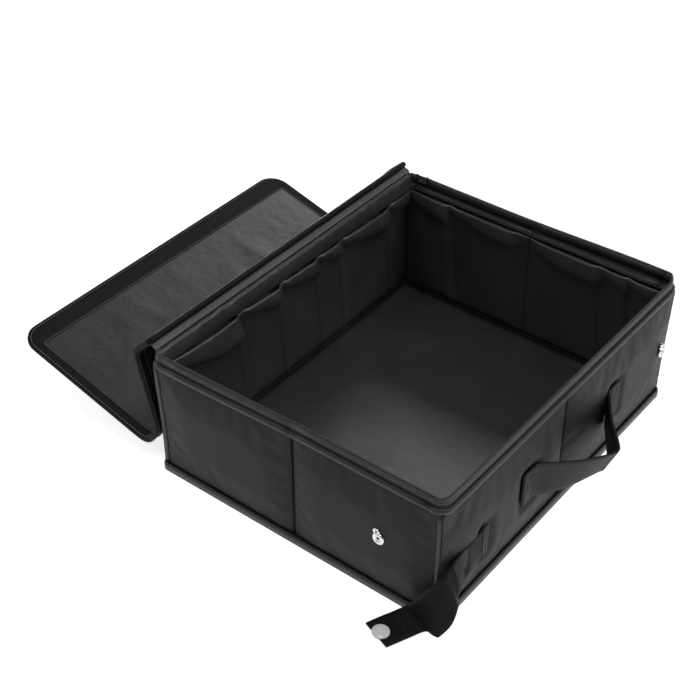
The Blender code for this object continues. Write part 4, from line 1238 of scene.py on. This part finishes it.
lid_line = smooth_line(smooth_line(LID_LINE, LINE_WINDOWS[0]).tolist(), LINE_WINDOWS[1])
lid_way = np.concatenate([[0], np.cumsum(np.linalg.norm(np.diff(lid_line, axis=0), axis=1))])
LID_LONG = float(lid_way[-1])
LID_LOOK = 0.002


def mid_line(s):
    """The mid-line's y and z, s along it."""
    return [float(np.interp(s, lid_way, lid_line[:, i])) for i in range(2)]


def lid_place(x, s, up=0.0):
    """The point x across and s along the lid, up from its mid-line towards its lining."""
    y, z = mid_line(s)
    (y0, z0), (y1, z1) = mid_line(max(s - LID_LOOK, 0)), mid_line(min(s + LID_LOOK, LID_LONG))
    ty, tz = y1 - y0, z1 - z0
    norm = math.hypot(ty, tz)
    return Vector((x, y - up * tz / norm, z + up * ty / norm))


# %% [markdown]
# Two joints move the lid, and the pieces before the cut ride on its first stiff span. Where the cloth passes
# from one part to the other there must be no step, and so the cut lies where the S crosses the first span.

# %% Where the lid is cut, and how its parts are placed
hinge_point, bend_point = (Vector((0, *spot)) for spot in (LID_HINGE, LID_BEND))
along_inner = (bend_point - hinge_point).normalized()
off_inner = Vector((0, -along_inner.z, along_inner.y))


def last_crossing():
    away = (lid_line[:, 0] - hinge_point.y) * off_inner.y + (lid_line[:, 1] - hinge_point.z) * off_inner.z
    low = int(np.argmin(lid_line[:, 1]))
    return float(lid_way[max(i for i in range(low) if away[i] < 0 <= away[i + 1])])


LID_CUT = last_crossing()
LID_TURN_LENGTH, LID_KEEP = 0.034, 0.12
LID_TURN = LID_CUT + LID_TURN_LENGTH
print("lid length", round(LID_LONG, 4), "cut at", round(LID_CUT, 4))


def hang_inner(piece):
    """A piece of the S: it rides on the CAD model's first span."""
    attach(piece, "lid_inner")
    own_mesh(piece)


def bend_outer(piece):
    lid_place(0, LID_CUT)
    lid_place(0, LID_TURN)
    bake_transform(piece)


# %% [markdown]
# The lid's two cloths lie over soft padding and are never tight, so each is laid at a small height over the
# mid-line that swells and ripples. The swelling is never less than nothing, or the cloth would sink into
# its padding. One far corner has the most ripples, as in the picture.

# %% Lining and cover of the lid
LID_LAYER, LID_TUCK, LID_CLOTH_THICKNESS = 0.0021, 0.002, 0.0006
LINING_START = 0.0035
SWELL_HALF, SWELL_START, SWELL_SOFTNESS, SWELL_GAIN = 0.188, 0.02, 0.0005, 1.3
CORNER_X, CORNER_BACK, CORNER_SPREAD = 0.16, 0.05, 0.05


def lid_swell(x, s, seed):
    side = calm(x, -SWELL_HALF, SWELL_HALF, 6)
    far = calm(s, SWELL_START, LID_LONG - LID_BAND, 8)
    corner = bell(x, CORNER_X, CORNER_SPREAD) * bell(s, LID_LONG - CORNER_BACK, CORNER_SPREAD)
    soft = ripple(x, s, 0.055, seed) * 0.0013 + ripple(x, s * 0.5, 0.024, seed + 4) * 0.0008
    soft += ripple(x * 1.6, s * 0.4, 0.011, seed + 9) * 0.0009 * corner
    raised = SWELL_SOFTNESS * math.log(1 + math.exp(soft / SWELL_SOFTNESS))
    return (raised + 0.0001) * side * far


def lid_sheet(layer, side, finish, slot, word, start, end):
    """One layer of one part of the lid: side is 1 for the lining and -1 for the outer cloth."""
    def lay(x, s):
        return lid_place(x, s, side * (LID_LAYER + lid_swell(x, s, 7 * side) * SWELL_GAIN))

    strip = {"inner": "lid_hinge_strip", "outer": "lid_crease_strip"}[word]
    half = LENGTH / 2 - LID_SIDE_BAND + LID_TUCK
    xs, ways = steps(-half, half, 0.004), steps(start, end, 0.003)
    sheet = cloth_grid(f"lid_{layer}_{word}", xs, ways, lay, finish)
    thicken(sheet, LID_CLOTH_THICKNESS)
    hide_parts(strip, f"lid_{word}_{layer}")
    return sheet


for side, layer, finish, slot, start in (
    (1, "lining", lid_cloth, "lid_lining", LINING_START),
    (-1, "cover", outer_cloth, "outer_cloth", 0.0),
):
    hang_inner(lid_sheet(layer, side, finish, slot, "inner", start, LID_CUT))
    bend_outer(lid_sheet(layer, side, finish, slot, "outer", LID_CUT, LID_LONG - LID_BAND + LID_TUCK))

# %% [markdown]
# A border of tape binds the lid's edges: narrow at the sides, wide along the free edge, whose corners are
# round. It is lofted between two lines, the lid's outline and the border's inner edge.

# %% The border
BORDER_HALF, BORDER_CORNER_PARTS = 0.0030, 8
# Shares of the border's width and of its half thickness.
BORDER_SHARES = ((0.0, 0.45), (0.06, 0.85), (0.3, 1.0), (0.7, 1.0), (0.94, 0.9), (1.0, 0.6))


def border_ring(outer, inner):
    """A flat, soft-edged ring of (x, s, up) from the outline to the border's inner edge."""
    upper = [(*(outer + (inner - outer) * share), BORDER_HALF * rise) for share, rise in BORDER_SHARES]
    lower = [(x, s, -up) for x, s, up in reversed(upper)]
    return upper + lower


def lid_border(name, outer, inner):
    rings = [[lid_place(*spot) for spot in border_ring(a, b)] for a, b in zip(outer, inner)]
    piece = sweep(name, rings, tape_cloth)
    return piece


def outer_outline():
    """The lid's outline past the cut and the border's inner edge, from one side round the free edge."""
    half, radius = LENGTH / 2, LID_CORNER
    ways = steps(LID_CUT, LID_LONG - radius, 0.005)
    outer = [Vector((half, s)) for s in ways]
    inner = [Vector((half - LID_SIDE_BAND, min(s, LID_LONG - LID_BAND))) for s in ways]
    middle = Vector((half - radius, LID_LONG - radius))
    inside = Vector((half - LID_SIDE_BAND, LID_LONG - LID_BAND))
    for step in range(1, BORDER_CORNER_PARTS + 1):
        angle = math.pi / 2 * step / BORDER_CORNER_PARTS
        outer.append(middle + radius * Vector((math.cos(angle), math.sin(angle))))
        inner.append(inside + Vector((-(radius - LID_SIDE_BAND) * step / BORDER_CORNER_PARTS, 0)))
    for x in steps(half - radius, 0, TAPE_STEP)[1:]:
        outer.append(Vector((x, LID_LONG)))
        inner.append(Vector((x, LID_LONG - LID_BAND)))
    outer += [Vector((-p.x, p.y)) for p in reversed(outer[:-1])]
    inner += [Vector((-p.x, p.y)) for p in reversed(inner[:-1])]
    return outer, inner


border = lid_border("lid_border_outer", *outer_outline())
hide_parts("lid_outer_band")
bend_outer(border)

side_ways = steps(0.0, LID_CUT, 0.004)
for side, hand in ((-1, "left"), (1, "right")):
    outer = [Vector((side * LENGTH / 2, s)) for s in side_ways]
    inner = [Vector((side * (LENGTH / 2 - LID_SIDE_BAND), s)) for s in side_ways]
    piece = lid_border(f"lid_border_inner_{hand}", outer, inner)
    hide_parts(f"lid_inner_band_{hand}")
    hang_inner(piece)

# %% [markdown]
# The seam at the hinge has to stay closed however the lid turns. A narrow tape rolls over it like the
# barrel of a hinge: its section is part of a ring round the hinge's line, so it looks the same at every
# angle.

# %% The tape over the hinge
HINGE_TAPE_END = 0.198
HINGE_TAPE_OUT, HINGE_TAPE_IN, HINGE_TAPE_REACH = 0.0029, 0.0023, 0.0026
HINGE_TAPE_START, HINGE_TAPE_STOP, HINGE_TAPE_STEP = 212, -52, 22


def hinge_tape():
    """Rolls over the hinge from the back rim to the lid. Its angles are in degrees."""
    turns = [math.radians(a) for a in steps(HINGE_TAPE_START, HINGE_TAPE_STOP, HINGE_TAPE_STEP)]
    arc = [(HINGE_TAPE_OUT, a) for a in turns] + [(HINGE_TAPE_IN, a) for a in reversed(turns)]
    rings = [
        [hinge_point + Vector((x, r * math.cos(a), r * math.sin(a))) for r, a in arc]
        for x in steps(-HINGE_TAPE_END, HINGE_TAPE_END, TAPE_STEP)
    ]
    # Its near-black tape_cloth is painted shade, so that the hinge shows as a dark line.
    tape = sweep("lid_hinge_tape", rings, tape_cloth)
    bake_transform(tape)


hinge_tape()

# %% [markdown]
# Two rows of stitches run along the border, one near its outer edge and one on its inner edge, on the lid's
# upper and under side. They are placed exactly as the border is, so they never leave it.

# %% Stitches along the border
STITCH_UP = 0.0031
OUTER_INSETS, SIDE_INSETS = (0.16, 0.95), (0.002, 0.0105)
BORDER_PITCH, BORDER_STITCH_WIDTH = 0.0036, 0.0007
stitch_ways = steps(0.002, LID_CUT, 0.004)


def border_line(inset, up):
    spots = [a + (b - a) * inset for a, b in zip(*outer_outline())]
    return [lid_place(p.x, p.y, up) for p in spots]


for word, up in (("top", STITCH_UP), ("under", -STITCH_UP)):
    lines = [border_line(inset, up) for inset in OUTER_INSETS]
    bend_outer(stitches("lid_border_stitches_" + word, lines, BORDER_PITCH, BORDER_STITCH_WIDTH))
    edges = [side * (LENGTH / 2 - inset) for side in (-1, 1) for inset in SIDE_INSETS]
    lines = [[lid_place(x, s, up) for s in stitch_ways] for x in edges]
    hang_inner(stitches("lid_side_stitches_" + word, lines))

# %% [markdown]
# Between its two cloths the lid holds thin foam. It can't be seen, but it is a piece of its own in the CAD
# model and gives the cloths something to lie on, so it is made as a plain sheet on the mid-line.

# %% The lid's padding
PAD_HALF, PAD_THICKNESS = 0.186, 0.0022
PAD_START, PAD_GAP, PAD_END, PAD_FILL = 0.012, 0.010, 0.002, 0.3


def lid_pad(name, node, start, end):
    xs, ways = steps(-PAD_HALF, PAD_HALF, 0.012), steps(start, end, 0.008)
    pad = thicken(cloth_grid(name, xs, ways, lid_place, foam_cloth), PAD_THICKNESS)
    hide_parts(node)
    return pad


hang_inner(lid_pad("lid_foam_inner", "lid_inner_pad", PAD_START, LID_CUT - PAD_GAP))
outer_pad = lid_pad("lid_foam_outer", "lid_outer_pad", LID_TURN + PAD_GAP, LID_LONG - LID_BAND - PAD_END)
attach(outer_pad, "lid_outer")

# %% [markdown]
# ## Handle and strap
#
# Both are flat webbing. The handle's ends lie flat on the wall and are sewn down, and between them it
# stands off in a bent loop. The strap is sewn near the left end of the front, turns round the corner and
# falls to the floor, where its tip with the snap lies flat.

# %% Webbing along a route
def smooth_route(points, per_span):
    """A Catmull-Rom curve through the points."""
    ends = [2 * points[0] - points[1], *points, 2 * points[-1] - points[-2]]
    route = []
    for before, start, end, after in zip(ends, ends[1:], ends[2:], ends[3:]):
        for step in range(per_span):
            t = step / per_span
            route.append(
                (2 * start + (end - before) * t + (2 * before - 5 * start + 4 * end - after) * t * t
                 + (3 * start - before - 3 * end + after) * t ** 3) / 2
            )
    route.append(points[-1])
    return route


WEBBING_THICKNESS, WEBBING_PARTS = 0.0020, 8


def webbing(name, upper, lower, finish, creases=()):
    """A strip between two edge lines, woven along it. Each crease is a place, a width and a height."""
    way = [0.0]
    for a, b in zip(upper, upper[1:]):
        way.append(way[-1] + (b - a).length)
    width = sum((a - b).length for a, b in zip(upper, lower)) / len(upper)
    shares = [i / WEBBING_PARTS for i in range(WEBBING_PARTS + 1)]
    rows = []
    for k, (a, b) in enumerate(zip(upper, lower)):
        after = upper[min(k + 1, len(upper) - 1)] - upper[max(k - 1, 0)]
        normal = after.cross(b - a).normalized()
        lift = sum(height * bell(way[k] / way[-1], place, wide) for place, wide, height in creases)
        rows.append([a + (b - a) * s + normal * lift * math.sin(math.pi * s) ** 0.5 for s in shares])
    obj = sheet_of_rows(name, rows, [s * width for s in shares], way, finish)
    thicken(obj, WEBBING_THICKNESS)
    obj["flat_length"] = way[-1]
    obj["flat_width"] = width
    return obj


# %% [markdown]
# The handle is one strip bent into a loop. Its middle line goes from patch to patch, out from the wall and
# a little down, and its two edges lie on both sides of that line. In the middle of the loop the strip
# tilts, with its upper edge out and its lower edge in.

# %% The handle
# Shares of the way from left to right, of the reach outwards and of the sag.
handle_shares = (
    (0.0, 0.01, 0.0), (0.035, 0.03, 0.0), (0.12, 0.22, 0.2), (0.25, 0.50, 0.5), (0.39, 0.76, 0.7),
    (0.53, 0.95, 0.9), (0.62, 0.97, 1.0), (0.80, 0.484, 0.8), (0.92, 0.16, 0.3), (0.968, 0.03, 0.0),
    (1.0, 0.01, 0.0),
)
HANDLE_LEFT, HANDLE_RIGHT, HANDLE_LEVEL = -0.0577, 0.0787, 0.069
HANDLE_FACE, HANDLE_REACH, HANDLE_SAG, HANDLE_WIDTH = -0.1663, 0.038, 0.014, 0.038
TILT_START, TILT_FULL, TILT_EASES, TILT_END = 0.15, 0.52, 0.60, 0.70
handle_mid = [
    Vector((
        HANDLE_LEFT + (HANDLE_RIGHT - HANDLE_LEFT) * way,
        HANDLE_FACE - HANDLE_REACH * out,
        HANDLE_LEVEL - HANDLE_SAG * sag,
    ))
    for way, out, sag in handle_shares
]
handle_line = smooth_route(handle_mid, 8)
handle_upper, handle_lower = [], []
for i, spot in enumerate(handle_line):
    way = i / (len(handle_line) - 1)
    tilt = ease(way, TILT_START, TILT_FULL) * (1 - ease(way, TILT_EASES, TILT_END))
    handle_upper.append(spot + Vector((0, -0.004 * tilt, HANDLE_WIDTH / 2 - 0.002 * tilt)))
    handle_lower.append(spot + Vector((0, 0.008 * tilt, -HANDLE_WIDTH / 2 + 0.006 * tilt)))
handle = webbing("carry_handle", handle_upper, handle_lower, webbing_cloth)
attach(handle, "handle")
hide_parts("handle")

# %% [markdown]
# The webbing's ends are folded under and sewn to the wall. Each end is a flat box with soft edges. A square
# of stitches with a cross in it holds each end of the handle, as such a seam bears the most.

# %% Sewn patches
PATCH_BACK, PATCH_FACE, PATCH_STITCH_FACE = -0.1654, -0.1676, -0.1681
PATCH_SOFT, PATCH_SIDE, PATCH_END = 0.0005, 0.0008, 0.0006
# Left end, length, width and level of each.
PATCHES = {
    "handle_end_left": (-0.075, 0.017, HANDLE_WIDTH, HANDLE_LEVEL),
    "handle_end_right": (0.079, 0.017, HANDLE_WIDTH, HANDLE_LEVEL),
    "strap_end": (-0.140, 0.009, 0.0345, 0.0567),
}


def patch(name, node):
    left, length, width, level = PATCHES[name]
    half = width / 2
    rings = []
    for x in steps(left, left + length, 0.0025):
        face = PATCH_FACE + (PATCH_END if x in (left, left + length) else 0.0)
        section = (
            (PATCH_BACK, -half), (face + PATCH_SOFT, -half), (face, -half + PATCH_SIDE),
            (face, half - PATCH_SIDE), (face + PATCH_SOFT, half), (PATCH_BACK, half),
        )
        rings.append([Vector((x, y, level + z)) for y, z in section])
    piece = sweep(name, rings, webbing_cloth)
    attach(piece, "front")
    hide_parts(node)


patch("handle_end_left", "handle_patch_left")
patch("handle_end_right", "handle_patch_right")
patch("strap_end", "strap_patch")


def sewn_box(left, right, low, high, cross):
    spots = ((left, low), (right, low), (right, high), (left, high), (left, low))
    corners = [Vector((x, PATCH_STITCH_FACE, z)) for x, z in spots]
    lines = [[a, b] for a, b in zip(corners, corners[1:])]
    return lines + [[corners[0], corners[2]], [corners[1], corners[3]]] if cross else lines


# Left, right, low and high line of each box of stitches.
LEFT_BOX, RIGHT_BOX, STRAP_BOX = (
    (-0.0725, -0.0605, 0.052, 0.086), (0.0815, 0.0935, 0.052, 0.086), (-0.1385, -0.1335, 0.0415, 0.0720),
)
PATCH_PITCH, PATCH_STITCH_WIDTH = 0.003, 0.0005
sewn = sewn_box(*LEFT_BOX, True) + sewn_box(*RIGHT_BOX, True) + sewn_box(*STRAP_BOX, False)
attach(stitches("patch_stitches", sewn, PATCH_PITCH, PATCH_STITCH_WIDTH), "front")

# %% [markdown]
# The strap leaves its patch, turns round the corner of the box and twists as it falls, so its two edges
# take different ways. Each edge is a list of given places, seen from the box's corner, and the
# webbing is laid between them. Soft creases across it show where it has been folded.

# %% The strap
# Shares of the reach to the left, of the reach to the back, and of the height of its root.
strap_upper_shares = (
    (-0.60, -0.050, 1.0), (-0.16, -0.070, 0.99), (0.04, -0.080, 0.93), (0.10, 0.13, 0.70),
    (0.10, 0.30, 0.52), (0.10, 0.46, 0.32), (0.12, 0.66, 0.12), (0.24, 0.78, 0.050),
    (0.52, 0.90, 0.055), (0.78, 1.0, 0.062),
)
strap_lower_shares = (
    (-0.68, -0.090, 0.53), (-0.24, -0.20, 0.52), (-0.06, -0.33, 0.46), (0.10, -0.34, 0.27),
    (0.215, -0.19, 0.06), (0.25, -0.12, 0.045), (0.26, 0.08, 0.045), (0.48, 0.20, 0.045),
    (0.76, 0.31, 0.055), (0.98, 0.40, 0.062),
)
STRAP_REACH, STRAP_HIGH, STRAP_LOW = 0.05, 0.074, 0.0395
STRAP_START = (0.0597, -0.0013)
# Place along the strap as a share, width as a share, and height in metres.
strap_creases = ((0.17, 0.026, -0.0034), (0.30, 0.016, 0.0040), (0.86, 0.010, -0.0014))


def strap_edge(shares, root_height):
    corner = Vector((-LENGTH / 2, -DEPTH / 2, 0))
    points = [corner + Vector((*STRAP_START, root_height))]
    points += [
        corner + Vector((-left * STRAP_REACH, back * STRAP_REACH, up * STRAP_HIGH))
        for left, back, up in shares
    ]
    return smooth_route(points, 7)


strap_edges = strap_edge(strap_upper_shares, STRAP_HIGH), strap_edge(strap_lower_shares, STRAP_LOW)
strap = webbing("closing_strap", *strap_edges, tape_cloth, strap_creases)
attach(strap, "strap")
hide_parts("strap_tail")

# %% [markdown]
# ## Snap, slider and pull
#
# These small metal pieces are right in the CAD model, so they stay and get their finish. Only the two studs
# get something more: a ring round the stud's foot and a smaller one above it, as the picture shows. Each
# ring is a circle carried round a circle, so two loops give its points.

# %% The points of a ring
# Place across and up from the stud, the ring's radius, and the radius of its wire.
STUD_RINGS = ((0.0, -0.0010, 0.0044, 0.0022), (-0.0024, 0.0062, 0.0024, 0.0014))
STUD_FACE, WIRE_FLATNESS = -0.0034, 0.8
RING_PARTS, WIRE_PARTS = 20, 8


def ring_points(wide, thick, matrix):
    rows = []
    for i in range(RING_PARTS):
        a = 2 * math.pi * i / RING_PARTS
        row = []
        for k in range(WIRE_PARTS):
            b = 2 * math.pi * k / WIRE_PARTS
            reach = wide + thick * math.cos(b)
            up = thick * WIRE_FLATNESS * math.sin(b)
            row.append(matrix @ Vector((reach * math.cos(a), reach * math.sin(a), up)))
        rows.append(row)
    return rows


# %% Rings put on the studs
def stud_rings(wall, yaw, body):
    low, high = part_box(wall + "_stud")
    matrix = wall_frame(yaw)
    spot = matrix.inverted() @ ((low + high) / 2)
    bm = bmesh.new()
    for x, z, wide, thick in STUD_RINGS:
        centre = Matrix.Translation(Vector((spot.x + x, STUD_FACE, spot.z + z)))
        turn = centre @ Matrix.Rotation(math.pi / 2, 4, "X")
        rows = [[bm.verts.new(point) for point in row] for row in ring_points(wide, thick, matrix @ turn)]
        for a, b in zip(rows, rows[1:] + rows[:1]):
            for k in range(WIRE_PARTS):
                after = (k + 1) % WIRE_PARTS
                bm.faces.new((a[k], b[k], b[after], a[after]))
    obj = closed_piece(wall + "_stud_rings", bm, nickel)
    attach(obj, body)


stud_rings("left", LEFT, "left_front")
stud_rings("front", FRONT, "front")

# %% Finishes on the CAD pieces
for node in ("left_stud", "front_stud", "snap_socket", "zip_slider", "zip_pull"):
    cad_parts[node].data.materials[0] = nickel
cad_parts["snap_cap"].data.materials[0] = cap_paint
